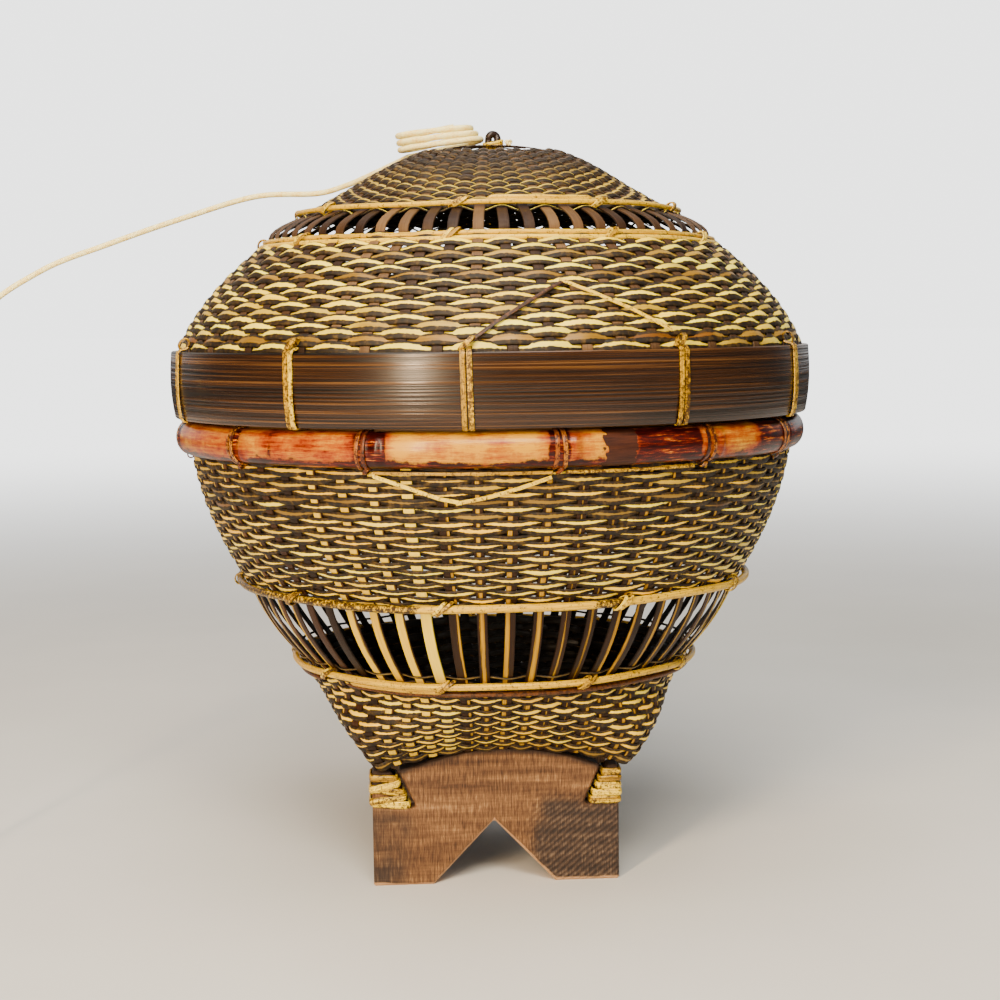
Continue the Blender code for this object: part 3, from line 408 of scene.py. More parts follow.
def lid_wall(place, level):
    """Middle of the lid's wall: level -1 to 0 inside the bands, to 1 the shoulder, to 2 the
    open band, to 3 the crown. The shoulder falls in as 0.45 t + 0.55 t^2."""
    place, level = np.broadcast_arrays(np.asarray(place, float), np.asarray(level, float))
    r, s = np.clip(level + 1.0, 0.0, 1.0), np.clip(level, 0.0, 1.0)
    t, u = np.clip(level - 1.0, 0.0, 1.0), np.maximum(level - 2.0, 0.0)
    shoulder = LID_HALF - (LID_HALF - LID_BAND_LOW) * (0.45 * s + 0.55 * s**2)
    band = LID_BAND_LOW - (LID_BAND_LOW - LID_BAND_HIGH) * t + 0.0050 * bow(t)
    crown = LID_BAND_HIGH - (LID_BAND_HIGH - LID_TOP_HALF) * u
    half = np.where(level < 1.0, shoulder, np.where(level < 2.0, band, crown)) - WALL / 2.0
    dome = 0.75 * u + 0.25 * np.sin(np.minimum(u, 1.0) * math.pi / 2.0)
    height = SEAT + 0.0020 + 0.0290 * r + 0.0500 * s + 0.0115 * t + 0.0290 * dome
    return outline(place, half, 0.4 * np.maximum(0.0, (u - 0.25) / 0.75) ** 2, height)


def on_wall(wall, place, level):
    """Points and outward normals of a wall, from the cross product of two small steps."""
    around = wall(place + SMALL_STEP, level) - wall(place - SMALL_STEP, level)
    up = wall(place, level + SMALL_STEP) - wall(place, level - SMALL_STEP)
    return wall(place, level), unit(np.cross(around, up))


for wall, level in ((body_wall, 0.0), (body_wall, 1.0), (body_wall, 2.0), (lid_wall, 0.0), (lid_wall, 3.0)):
    point = wall(0.5, level)
    print(f"{wall.__name__} at level {level}: front {-1000 * point[1]:.1f} mm out, {1000 * point[2]:.1f} mm up")


# %% [markdown]
# The weavers are split rattan. Each row runs over one stake and under the next, and
# the next row does the opposite. Where a row passes over a stake it stands proud of
# the wall, and handling has rubbed that float pale. Its edges and its ends, where it
# dives under the stake, are painted dark: painted shade. Some rows are stained brown
# by smoke and old oil. So the finish needs to know how far across the strip and
# how far along its float each point is, and the mesh carries those as values.

# %% Weavers as closed rows
COLUMNS = 5 * STAKES


def wander(rows, places, waves):
    """Smooth closed random curves: sine waves with whole numbers of waves to the round."""
    total = np.zeros((rows, places.shape[-1]))
    for count in waves:
        phase = rng.uniform(0.0, math.tau, (rows, 1))
        total += rng.normal(size=(rows, 1)) * np.sin(math.tau * count * places / 4.0 + phase)
    return total / math.sqrt(len(waves))


def weave_rows(name, wall, levels, width, depth, swing, rise, finish, body, covers=(), slot="gold_cane", first=0,
               worn=1.0):
    """Closed rows over and under the stakes: out = swing cos(pi (15 place - 0.5 + row)).

    The same cosine lifts each float's middle by rise, so that it arches, or dips if
    rise is negative. The weave layer is (across, place on the float, tone, stain); its
    stain also carries painted shade on the strip's edges and, past 1, the black of the
    inner side, partly smoke and partly painted shade.
    """
    rows = len(levels)
    place = 2.5 + 4.0 * np.arange(COLUMNS)[None] / COLUMNS
    beat = PER_SIDE * place - 0.5 + np.arange(first, first + rows)[:, None]
    over = np.cos(math.pi * beat)
    level = np.asarray(levels)[:, None] + wander(rows, place, (2, 5, 9)) * 0.003
    points, normals = on_wall(wall, np.broadcast_to(place, (rows, COLUMNS)), level)
    out = over * swing * (1.0 + 0.10 * wander(rows, place, (7, 13)))
    up = unit(wall(place, level + SMALL_STEP) - wall(place, level - SMALL_STEP))
    lines = points + normals * out[..., None] + up * (rise * over)[..., None]
    wide = width * (1.0 + 0.05 * wander(rows, place, (3, 8, 15)) + 0.06 * over)
    tone = rng.uniform(0.0, 1.0, (rows, STAKES * 2))
    tone = np.take_along_axis(tone, np.floor((beat + 1.0) / 2.0).astype(int) % (STAKES * 2), axis=1)
    tone = 0.55 * tone + 0.45 * rng.uniform(0.0, 1.0, (rows, 1))
    rng.uniform(size=rows)  # a spare draw for each row, so that the later draws stay as they are
    stain = np.clip((wander(rows, place, (1, 2, 4, 7)) - 1.10) * 1.6, 0.0, 0.8)
    stain = np.clip(stain + 1.0 - worn, 0.0, 1.0)
    # Painted shade: the strip's edges get 0.35 more stain, and its inner side 1.6, which the finish turns black,
    # partly smoke and partly painted shade of the inside.
    inner_soot_and_edge_shade = np.where(SPLINT[:, 1] < -0.2, 1.6, np.where(SPLINT[:, 1] < 0.0, 0.35, 0.0))
    piece = carried_piece(
        name, lines, normals, SPLINT, wide, depth, finish, body, covers, slot,
        tone=rng.uniform(0.0, 1.0, rows), closed=True,
        weave=layer_of(
            (rows, COLUMNS, len(SPLINT)), SPLINT[:, 0] + 0.5, np.abs((beat + 1.0) % 2.0 - 1.0)[..., None],
            tone[..., None], stain[..., None] + inner_soot_and_edge_shade,
        ),
    )
    print(f"{name}: {rows} rows, {len(piece.data.polygons)} faces")


# %% [markdown]
# Rubbed split rattan. The pale part of a float lies along its upper edge and ends in a
# point where it dives: partly rubbed skin, partly a painted highlight on the lit upper
# edge, with painted shade where it dives. Its outline is broken by fine noise. Below it
# the strip is a dark warm brown, painted shade between the rows, and the side that
# faces into the basket is black, partly smoke and partly painted shade.

# %% Weaver finish
def weaver_finish(name, pale, brown, cover, taper, centre):
    """Split rattan that is pale inside |2 across - 2 centre| < cover - taper at^3, else dark: painted shade."""
    finish, add, shader = new_finish(name, {"IOR": 1.5, "Specular IOR Level": 0.35})
    across, at, tone, stain, _ = point_values(add, "weave")
    spot = add("TexCoord", take=OBJECT)
    fibre = fibres(add, add("Attribute", mode="cane", take=1), (90.0, 9.0, 40.0), 3.0, 0.7)
    patch = add("TexNoise", [spot], Scale=420.0, Detail=3.0, Roughness=0.6)
    cloud = add("TexNoise", [spot], Scale=38.0, Detail=2.0)
    off = add("Math", [add("Math", [across, 2.0, -2.0 * centre])], "ABSOLUTE")
    limit = add("Math", [add("Math", [at, 3.0], "POWER"), -taper, cover])
    ragged = add("Math", [patch, 0.5, limit])
    clouded = add("Math", [cloud, 0.7, ragged])
    # The pale mask: rubbed skin, and a painted highlight along the upper edge that narrows to a point where the float
    # dives, as painted shade.
    mask = add("MapRange", [add("Math", [clouded, off], "SUBTRACT"), 0.56, 0.68], "SMOOTHSTEP")
    mixed = add("Math", [fibre, 0.55, add("Math", [tone, 0.45], "MULTIPLY")])
    light = add("ValToRGB", [mixed], stops=pale)
    smoky = add("ValToRGB", [mixed], stops=brown)
    dulled = add("Mix", {0: stain, 6: light, 7: smoky}, take=2)
    # Outside the mask the strip is near-black brown: painted shade under and between the floats.
    deep = add("ValToRGB", [patch], stops=[(0.30, "080400"), (0.50, "201402"), (0.72, "503A0A")])
    colour = add("Mix", {0: mask, 6: deep, 7: dulled}, take=2)
    # Stain past 1 is the inner side and turns black: partly smoke, partly painted shade of the inside.
    soot_and_shade_share = add("MapRange", [stain, 1.0, 1.6])
    smoked = add("Mix", {0: soot_and_shade_share, 6: colour, 7: tint(SOOT_AND_SHADE)}, take=2)
    finish_surface(add, shader, smoked, fibre, 0.35, [mask, 0.0, 1.0, 0.62, 0.34])
    return finish


body_weaver = weaver_finish(
    "rubbed split rattan, body", [(0.15, "B47C00"), (0.38, "FFC808"), (0.7, "FFE840")],
    [(0.2, "2A1602"), (0.5, "5A3A10"), (0.8, "8C6432")], 0.25, 0.22, 0.40,
)
lid_weaver = weaver_finish(
    "rubbed split rattan, lid", [(0.15, "C89C00"), (0.38, "FFDC20"), (0.7, "FFF24C")],
    [(0.2, "482804"), (0.5, "764A10"), (0.8, "A0742C")], 0.34, 0.30, 0.42,
)
crown_weaver = weaver_finish(
    "smoked split rattan, crown", [(0.15, "806400"), (0.5, "D0AC14"), (0.85, "F8DE48")],
    [(0.2, "1C120C"), (0.5, "42301F"), (0.8, "6E5638")], 0.28, 0.32, 0.28,
)

# %% [markdown]
# The rows themselves: thirteen below the open band, twenty-five above it (the top
# five lie behind the rim pole), seventeen on the shoulder of the lid with two more
# inside its bands, and twenty on the crown. The rows at the arched foot are brown, and
# so are a few others. One thin thread runs beside each open band.

# %% Woven rows of the body and the lid
LOWER_ROWS, UPPER_ROWS, SHOULDER_ROWS, CROWN_ROWS = 13, 25, 17, 20
UPPER_STAIN = np.array([
    0.1, 0, 0, 0.2, 0, 0, 0.3, 0, 0, 0, 0.4, 0, 0, 0.85, 0.1, 0.9, 0.1, 0.6, 0.5, 0.2, 0, 0, 0, 0, 0,
])
LID_STAIN = np.array([0.0, 0, 0.2, 0.9, 0.3, 0, 0, 0.6, 0, 0, 0.1, 0, 0.9, 0, 0, 0.85, 0.2, 0, 0])


def row_levels(count):
    """Middles of so many rows from 0 to 1."""
    return (np.arange(count) + 0.5) / count


weave_rows(
    "lower_weavers", body_wall, row_levels(LOWER_ROWS), 0.0049, 0.0010, 0.00086, -0.00030, body_weaver, "basket",
    ("lower_weave",), worn=np.clip(0.15 + np.arange(LOWER_ROWS) / 2.5, 0.0, 1.0)[:, None],
)
weave_rows(
    "upper_weavers", body_wall, 2.0 + row_levels(UPPER_ROWS), 0.0043, 0.0010, 0.00086, -0.00018, body_weaver, "basket",
    ("upper_weave",), first=1, worn=1.0 - UPPER_STAIN[:, None],
)
weave_rows(
    "lid_weavers", lid_wall, [-0.97, -0.83, *row_levels(SHOULDER_ROWS)], 0.0055, 0.0011, 0.00092, 0.00030, lid_weaver,
    "lid", ("lid_weave",), worn=1.0 - LID_STAIN[:, None],
)
weave_rows(
    "crown_weavers", lid_wall, 2.0 + row_levels(CROWN_ROWS), 0.0044, 0.0010, 0.00082, 0.00036, crown_weaver, "lid",
    ("lid_crown",), first=1, worn=np.clip(1.15 - np.arange(CROWN_ROWS) / 12.0, 0.0, 1.0)[:, None],
)
weave_rows("lid_band_thread", lid_wall, [1.90], 0.0012, 0.0007, 0.0011, 0.00080, lid_weaver, "lid", first=1)
weave_rows(
    "waist_band_thread", body_wall, [1.09], 0.0013, 0.0007, 0.0010, 0.00040, crown_weaver, "basket",
    slot="brown_cane", first=1, worn=0.2,
)

# %% [markdown]
# The stakes are split cane too, and they stand upright in the weave. Between two
# floats of a column only a small square of the stake shows, and in the open bands the
# stakes stand bare. Some still have the pale skin over the whole width, others only
# along the middle or at one edge, where the knife has left the brown pith.

# %% Stakes
STAKE_DEPTH, STAKE_SWING = 0.0010, 0.00035
PALE_FROM_TO = {
    0: (2.0, 2.0), 1: (-0.1, 0.8), 2: (-0.1, 0.85), 3: (-0.1, 0.85), 4: (-0.1, 1.1), 5: (0.75, 1.0), 6: (0.3, 0.65),
    7: (0.0, 0.45), 8: (0.3, 0.75), 9: (0.45, 0.55), 10: (0.45, 0.55), 11: (0.6, 1.0), 12: (0.0, 0.25),
    13: (0.5, 0.85), 14: (0.1, 0.35), 59: (2.0, 2.0), 58: (0.0, 0.35), 57: (0.1, 0.4),
}


def stake_lines(wall, levels, beats):
    """Lines of all stakes up a wall, and their normals: out = -swing cos(pi (beat + stake))."""
    place = ((np.arange(STAKES) + 0.5) / PER_SIDE)[:, None]
    points, normals = on_wall(wall, np.broadcast_to(place, (STAKES, len(levels))), levels[None])
    out = -STAKE_SWING * np.cos(math.pi * (beats[None] + np.arange(STAKES)[:, None]))
    return points + normals * out[..., None], normals


def stake_widths(lines, most, share):
    """Width of each stake along its length: a share of the pitch, never more than the most."""
    pitch = np.linalg.norm(np.roll(lines, -1, axis=0) - np.roll(lines, 1, axis=0), axis=-1) / 2.0
    return np.minimum(most, share * pitch)


def make_stakes(name, lines, normals, width, depth, finish, body, covers, slot, pale_from, pale_to, tone):
    """Stakes as carried strips, each with its tone and the part of its width that is pale."""
    own = (value[:, None, None] for value in (pale_from, pale_to, tone))
    # Extra is 1 on the inner face, which the finish paints black: partly smoke, partly painted shade.
    carried_piece(
        name, lines, normals, FLAT, width, depth, finish, body, covers, slot, tone,
        np.where(FLAT[:, 1] < -0.2, 1.0, 0.0), crease=50.0,
        weave=layer_of((*lines.shape[:2], len(FLAT)), FLAT[:, 0] + 0.5, *own),
    )


def stake_finish(name, pale, dark, bare):
    """Split cane, pale between two places across its width and brown beside them. Its inner side is black, partly
    smoke and partly painted shade.
    """
    finish, add, shader = new_finish(name, {"Specular IOR Level": 0.2})
    across, pale_from, pale_to, tone, _ = point_values(add, "weave")
    *_, inner, run = point_values(add, "cane")
    fibre = fibres(add, run, (45.0, 10.0, 60.0), 4.0, 0.7)
    wobbling = add("Math", [across, add("Math", [fibre, 0.5, -0.25])], "ADD")
    low = add("Math", [wobbling, pale_from], "SUBTRACT")
    high = add("Math", [pale_to, wobbling], "SUBTRACT")
    mask = add("MapRange", [add("Math", [low, high], "MINIMUM"), -0.04, 0.06], "SMOOTHSTEP")
    mixed = add("Math", [fibre, 0.5, add("Math", [tone, 0.5], "MULTIPLY")])
    light = add("ValToRGB", [mixed], stops=pale)
    deep = add("ValToRGB", [mixed], stops=dark)
    colour = add("Mix", {0: mask, 6: deep, 7: light}, take=2)
    # The inner face is black: partly smoke, partly painted shade of the inside.
    smoked = add("Mix", {0: inner, 6: colour, 7: tint(SOOT_AND_SHADE)}, take=2)
    finish_surface(add, shader, smoked, fibre, 0.4, [fibre, 0.0, 1.0, bare, bare + 0.2])
    return finish


body_stake = stake_finish(
    "split cane stake, body", [(0.15, "7C5604"), (0.3, "B08208"), (0.5, "E2B81C"), (0.75, "FFE448")],
    [(0.2, "160B02"), (0.5, "3A200A"), (0.8, "6C4418")], 0.36,
)
lid_stake = stake_finish(
    "smoked cane stake, lid", [(0.2, "8A5A10"), (0.8, "D0982C")],
    [(0.2, "20120A"), (0.5, "48321E"), (0.8, "745838")], 0.38,
)
pale_from = rng.uniform(0.0, 0.55, STAKES)
pale_to = pale_from + rng.uniform(0.10, 0.45, STAKES)
for stake, (start, end) in PALE_FROM_TO.items():
    pale_from[stake], pale_to[stake] = start, end
tone = rng.uniform(0.2, 0.7, STAKES)
# Stakes 5 to 15, from the front round to the right, get a low tone: painted shade on the side away from the window
# light.
tone[:5], tone[5:16] = (0.0, 0.55, 0.45, 0.6, 0.8), rng.uniform(0.0, 0.15, 11)

lower, upper = np.linspace(0.0, 1.0, 40), np.linspace(2.0, 3.0, 76)
levels = np.concatenate([lower, np.linspace(1.0, 2.0, 9)[1:-1], upper])
beats = np.concatenate([lower * LOWER_ROWS - 0.5, np.full(7, 12.5), (upper - 2.0) * UPPER_ROWS + 0.5])
lines, normals = stake_lines(body_wall, levels, beats)
width = stake_widths(lines, 0.0046, 0.54)
width[4] *= 1.12
make_stakes(
    "body_stakes", lines, normals, width, STAKE_DEPTH, body_stake, "basket", ("waist_stakes",), "gold_cane",
    pale_from, pale_to, tone,
)

shoulder, crown = np.linspace(0.0, 1.0, 52), np.linspace(2.0, 3.0, 61)
levels = np.concatenate([[-1.0, -0.9, -0.6, -0.3], shoulder, np.linspace(1.0, 2.0, 7)[1:-1], crown])
beats = np.concatenate([
    np.full(4, 1.5), shoulder * SHOULDER_ROWS + 1.5, np.full(5, 18.5), (crown - 2.0) * CROWN_ROWS + 0.5,
])
lines, normals = stake_lines(lid_wall, levels, beats)
never = np.full(STAKES, 2.0)
make_stakes(
    "lid_stakes_long", lines, normals, stake_widths(lines, 0.0050, 0.80), STAKE_DEPTH, lid_stake, "lid",
    ("lid_stakes",), "brown_cane", never, never, rng.uniform(0.0, 1.0, STAKES),
)


# %% [markdown]
# At the top of the crown and at the bottom of the basket the stakes of opposite sides
# are the two ends of one strip. Fifteen strips cross fifteen others there in a plain
# square mat, over one and under one.

# %% Crossing mats
CROWN_HALF, CROWN_DOME = 0.0305, 0.0031
BOTTOM_HALF = 0.0603


def mat_strips(edge, dome, swing, stations):
    """Strips between facing stakes, one set each way: out = swing cos(pi (15 t - 0.5 + strip))."""
    share = row_levels(PER_SIDE)
    t = np.linspace(0.0, 1.0, stations)[None, :, None]
    strips = []
    for first in (0.0, 1.0):
        start, end = edge(first + share)[:, None], edge(first + 3.0 - share)[:, None]
        line = start + (end - start) * t
        wave = np.cos(math.pi * (PER_SIDE * t[..., 0] - 0.5 + np.arange(PER_SIDE)[:, None] + first))
        line[..., 2] = dome(line[..., 0], line[..., 1]) + swing * wave
        strips.append(line)
    return np.concatenate(strips)


def crown_dome(x, y):
    """Height of the crown's middle: its edge plus a dome that falls as the square of the radius."""
    reach = (x**2 + y**2) / CROWN_HALF**2
    return SEAT + 0.1200 + CROWN_DOME * (1.0 - np.minimum(reach, 1.0))


def bottom_dome(x, y):
    """Height of the bottom: the side's arch at the edge, and a dome over the middle."""
    far, near = np.maximum(abs(x), abs(y)) / BOTTOM_HALF, np.minimum(abs(x), abs(y)) / BOTTOM_HALF
    return 0.0556 + FOOT_ARCH * (far**2 - near**2) + 0.0136 * (1.0 - far**2)


for name, wall, level, dome, widest, finish, body, covers in (
    ("crown_mat", lid_wall, 3.0, crown_dome, 0.0036, lid_stake, "lid", ()),
    ("bottom_mat_strips", body_wall, 0.0, bottom_dome, 0.0066, body_stake, "basket", ("bottom_mat",)),
):
    lines = mat_strips(lambda place: wall(place, level), dome, 0.0006, 91)
    few = np.full(len(lines), 2.0) if body == "lid" else rng.uniform(0.0, 0.6, len(lines))
    make_stakes(name, lines, UP, widest, 0.0009, finish, body, covers, "brown_cane", few, few + 0.25, few / 2.0)


# %% [markdown]
# Whole canes run round the open bands and are tied on with thin split cane. Their skin
# is glossy gold with long streaks, and smoke has mottled some of it brown.

# %% Whole cane finish
def cane_finish(name, golds, browns, mottled, rough, coat):
    """Whole or split cane with its skin on: long streaks, and brown mottling."""
    finish, add, shader = new_finish(name, {"Specular IOR Level": 0.3, "Coat Weight": coat, "Coat Roughness": 0.22})
    _, _, tone, stain, run = point_values(add, "cane")
    streak = fibres(add, run, (60.0, 7.0, 50.0), 4.0, 0.65)
    blotch = add("TexNoise", [add("TexCoord", take=OBJECT)], Scale=700.0, Detail=4.0, Roughness=0.75)
    stained = add("Math", [blotch, add("Math", [stain, 0.16, mottled])], "ADD")
    mask = add("MapRange", [stained, 0.92, 1.08], "SMOOTHSTEP")
    mixed = add("Math", [streak, 0.7, add("Math", [tone, 0.3], "MULTIPLY")])
    light = add("ValToRGB", [mixed], stops=golds)
    deep = add("ValToRGB", [mixed], stops=browns)
    colour = add("Mix", {0: mask, 6: light, 7: deep}, take=2)
    finish_surface(add, shader, colour, streak, 0.25, [streak, 0.0, 1.0, rough, rough + 0.15])
    return finish


gold_cane = cane_finish(
    "whole cane with its skin", [(0.3, "A07800"), (0.48, "E0B210"), (0.72, "FFE448")],
    [(0.3, "140900"), (0.6, "3C2408")], 0.40, 0.28, 0.08,
)
tie_cane = cane_finish(
    "split cane tie", [(0.3, "8A6600"), (0.48, "D0A008"), (0.72, "FFE448")],
    [(0.3, "261400"), (0.6, "5C3C0A")], 0.44, 0.32, 0.06,
)
lacquered_cane = cane_finish(
    "lacquered cane tie", [(0.3, "4A1400"), (0.5, "8E4800"), (0.72, "CC8A20")],
    [(0.3, "120300"), (0.6, "3A1004")], 0.46, 0.26, 0.12,
)
dark_cane = cane_finish(
    "smoked split cane", [(0.3, "3A1C04"), (0.5, "6E3E0C"), (0.75, "9C6420")],
    [(0.3, "1A0A00"), (0.6, "40220A")], 0.48, 0.42, 0.06,
)
lash_cane = cane_finish(
    "split cane lashing", [(0.34, "5A3C00"), (0.46, "B08600"), (0.60, "FFDC30")],
    [(0.3, "120A00"), (0.6, "4C3004")], 0.43, 0.24, 0.1,
)
loop_cane = cane_finish(
    "blackened cane", [(0.3, "140C09"), (0.5, "2C1E18"), (0.75, "57433A")],
    [(0.3, "0A0605"), (0.6, "1E1410")], 0.42, 0.34, 0.2,
)


# %% Hoops of whole cane
def spans_of(bearings, spans, soft):
    """How far inside any (from, to, strength) span each bearing is, over a soft edge in degrees."""
    wrapped = (bearings + 180.0) % 360.0 - 180.0
    total = np.zeros(len(bearings))
    for low, high, strength in spans:
        inside = np.minimum(wrapped - low, high - wrapped) / soft + 0.5
        total = np.maximum(total, strength * np.clip(inside, 0.0, 1.0))
    return total


def make_cane(name, radius, height, cane, covers=(), body="lid", finish=gold_cane, slot="gold_cane",
              start=180.0, end=540.0, stations=361, wave=0.0003, brown=(), flat=1.0, tapered=0.0):
    """A cane bent round the basket between two bearings, with a little natural wander."""
    bearing, share = np.linspace(start, end, stations), np.linspace(0.0, 1.0, stations)
    turn = np.radians(bearing)
    drift_out = wave * np.sin(5.0 * turn + 1.0) * 0.5
    drift_up = wave * (np.sin(3.0 * turn) + 0.6 * np.sin(8.0 * turn + 2.0))
    line, out = polar(radius + drift_out, turn, height + drift_up), polar(1.0, turn, 0.0)
    ends = np.minimum(1.0, np.minimum(share, 1.0 - share) / tapered) if tapered else np.ones(stations)
    thick = cane * np.maximum(ends, 0.15)
    whole = end - start >= 360.0
    keep = slice(0, stations - 1 if whole else stations)
    carried_piece(
        name, line[None, keep], out[None, keep], ROUND, thick[None, keep], thick[None, keep] * flat, finish, body,
        covers, slot, rng.uniform(0.2, 0.8, 1), spans_of(bearing[keep], brown, 2.0)[None], closed=whole,
    )


UPPER_HOOP, LOWER_HOOP = (0.1218, 0.1382), (0.0964, 0.0997)
LID_HOOP_LOW, LID_HOOP_HIGH = (0.1065, SEAT + 0.0806), (0.0907, SEAT + 0.0944)
THIN, SPLINTER = 0.0023, 0.0022
make_cane(
    "waist_hoop_upper_cane", *UPPER_HOOP, 0.0036, ("waist_hoop_upper",), "basket", wave=0.0005,
    brown=[(-180.0, -19.0, 1.0), (17.5, 24.0, 1.0), (80.0, 180.0, 1.0)],
)
make_cane("waist_hoop_lower_cane", *LOWER_HOOP, 0.0032, ("waist_hoop_lower",), "basket", wave=0.0004)
make_cane(
    "waist_hoop_second_cane", 0.0935, 0.0958, 0.0024, ("waist_hoop_second",), "basket", dark_cane, "brown_cane",
    start=-50.0, end=300.0, tapered=0.01,
)
make_cane("lid_hoop_lower_cane", *LID_HOOP_LOW, THIN, ("lid_hoop_lower",))
make_cane("lid_hoop_second_cane", 0.1083, SEAT + 0.0784, THIN, ("lid_hoop_second",))
make_cane("lid_hoop_upper_cane", *LID_HOOP_HIGH, THIN, ("lid_hoop_upper",))
make_cane(
    "lid_splint_upper", 0.0893, SEAT + 0.0962, SPLINTER, start=-4.0, end=27.0, stations=60, flat=0.5, tapered=0.04,
)
make_cane(
    "waist_splint_lower", 0.0950, 0.0972, SPLINTER, body="basket", start=-47.0, end=-17.0, stations=50, flat=0.5,
    tapered=0.04,
)


# %% [markdown]
# Each tie is a thin strip of split cane wound round a hoop and through the weave. Its
# turns lie beside each other at a slant.

# %% Ties on the hoops
def wrap_lines(bearings, radius, height, reach, rise, slant, stations=24):
    """Closed turns round a hoop: an ellipse of reach by rise in the (out, up) plane, moved
    along the hoop by slant sin(angle)."""
    angle = np.linspace(0.0, math.tau, stations)
    turn = np.radians(bearings)[:, None] + slant * np.sin(angle) / radius
    line = polar(radius + reach * np.cos(angle), turn, height + rise * np.sin(angle))
    return line, polar(np.cos(angle), turn, np.sin(angle))


def make_ties(name, parts, width, depth, finish, body, covers=(), slot="gold_cane"):
    """The strips of one tie or row of ties in one piece, from pairs of lines and normals."""
    lines, facing = (np.concatenate(side) for side in zip(*parts))
    carried_piece(
        name, lines, facing, FLAT, width, depth, finish, body, covers, slot, rng.uniform(0.0, 1.0, len(lines)),
        rng.uniform(0.0, 0.6, (len(lines), 1)), crease=60.0,
    )


def tie_bearings(seen, first, step, count):
    """Bearings of the ties that show in front, then of evenly spaced ones round the back."""
    return np.array(seen + [first + step * i for i in range(count)])


BAND_TIES = np.append(tie_bearings([-7.2, 28.2, 59.8], 97.9, 38.1, 5), [288.4, 323.0])
RIM_TIES = np.append(tie_bearings([-24.8, 7.4, 34.9, 58.4], 89.5, 31.14, 7), 307.4)
LID_LOW_SEAT = (LID_HOOP_LOW[0] + 0.0006, LID_HOOP_LOW[1] - 0.0011)

for name, hoop, bearings, reach, body, step in (
    ("waist_ties_upper", UPPER_HOOP, tie_bearings([-50.0, -13.9, 23.5], 60.0, 35.7, 7), 0.0026, "basket", 1.1),
    ("waist_ties_lower", LOWER_HOOP, tie_bearings([-55.4, -16.6, 21.5], 60.0, 40.8, 6), 0.0024, "basket", 1.3),
    ("lid_ties_lower", LID_LOW_SEAT, tie_bearings([-54.1, -12.6, 24.8], 59.4, 35.2, 7), 0.0027, "lid", 1.2),
    ("lid_ties_upper", LID_HOOP_HIGH, tie_bearings([-56.3, -11.9, 28.1], 63.6, 40.0, 6), 0.0020, "lid", 1.3),
):
    make_ties(name, [
        wrap_lines(bearings - step / 2.0, *hoop, reach, reach * 1.1, 0.0026, 25),
        wrap_lines(bearings + step / 2.0, *hoop, reach * 1.05, reach * 1.2, 0.0034, 25),
    ], 0.0016, 0.0007, tie_cane, body)


# %% [markdown]
# The lid closes with two broad bands of split bamboo, one inside and one outside the
# weave, and the neck that it drops over is a third. Smoked bamboo is dark brown, with
# fine straight fibres that give it a soft sheen.

# %% Bamboo finish
def bamboo_finish(name, tones, rough):
    """Split bamboo bent round the basket: fibres lie level, so the pattern is fine in height."""
    finish, add, shader = new_finish(name, {"Specular IOR Level": 0.42})
    spot = add("TexCoord", take=OBJECT)
    fibre = fibres(add, spot, (5.0, 5.0, 1200.0), 3.0, 0.7)
    cloud = fibres(add, spot, (9.0, 9.0, 60.0), 2.0)
    mixed = add("Math", [fibre, 0.80, add("Math", [cloud, 0.20], "MULTIPLY")])
    colour = add("ValToRGB", [mixed], stops=tones)
    ribs = fibres(add, spot, (5.0, 5.0, 1200.0), 1.0)
    finish_surface(add, shader, colour, ribs, 0.7, [mixed, 0.62, 0.36, rough, rough + 0.18])
    return finish


smoked_bamboo = bamboo_finish(
    "smoked split bamboo", [(0.38, "070300"), (0.46, "1E0F03"), (0.54, "38200C"), (0.66, "6C4A24")], 0.17,
)
neck_bamboo = bamboo_finish("split bamboo neck", [(0.3, "5A3A1A"), (0.5, "8C6230"), (0.75, "B98C4E")], 0.38)


# %% Bands
BAND_STATIONS, EASED = 240, 0.0005


def turned_band(name, inner, outer, low, high, finish, body, covers, barrel=0.0, taper=0.0, bulge=0.0):
    """A band swept round the axis: up over its face, down inside, edges eased.

    The face barrels out by sin(pi t), its foot tapers in by (1 - t)^3, and the whole
    band wanders by sines of the bearing.
    """
    t = np.linspace(0.0, 1.0, 9)
    face = outer + barrel * np.sin(math.pi * t) - taper * (1.0 - t) ** 3
    heights = low + EASED + (high - low - 2.0 * EASED) * t
    outside = [(face[0] - EASED, low), *zip(face, heights), (face[-1] - EASED, high)]
    inside = [(inner + EASED, high), (inner, high - EASED), (inner, low + EASED), (inner + EASED, low)]
    loop = np.array(outside + inside)[::-1]
    bearing = np.radians(180.0 + np.arange(BAND_STATIONS) * 360.0 / BAND_STATIONS)[:, None]
    drift = bulge * (np.sin(3 * bearing + 0.6) + 0.5 * np.sin(7 * bearing))
    points = polar(loop[:, 0] + drift, bearing, loop[:, 1])
    faces = carried_faces(1, BAND_STATIONS, len(loop), closed=True)
    make_piece(name, points, faces, finish, body, covers, "dark_bamboo", crease=40.0)


BAND_TOP = SEAT + 0.0310
turned_band(
    "lid_band_outer_strip", 0.1486, 0.1514, SEAT, BAND_TOP, smoked_bamboo, "lid", ("lid_band_outer",), 0.0007, 0.0012,
    0.00012,
)
turned_band("lid_band_inner_strip", 0.1430, 0.1456, SEAT, BAND_TOP, smoked_bamboo, "lid", ("lid_band_inner",))
turned_band("neck_strip", 0.1374, 0.1398, 0.1975, 0.2360, neck_bamboo, "basket", ("neck_band",))

# %% [markdown]
# The rim pole is a half round of split bamboo, lacquered from yellow through orange to
# a dark red. Its nodes stand out as low ridges beside the ties, the lacquer is worn
# along the crest, and one chip has gone down to the bare brown bamboo.

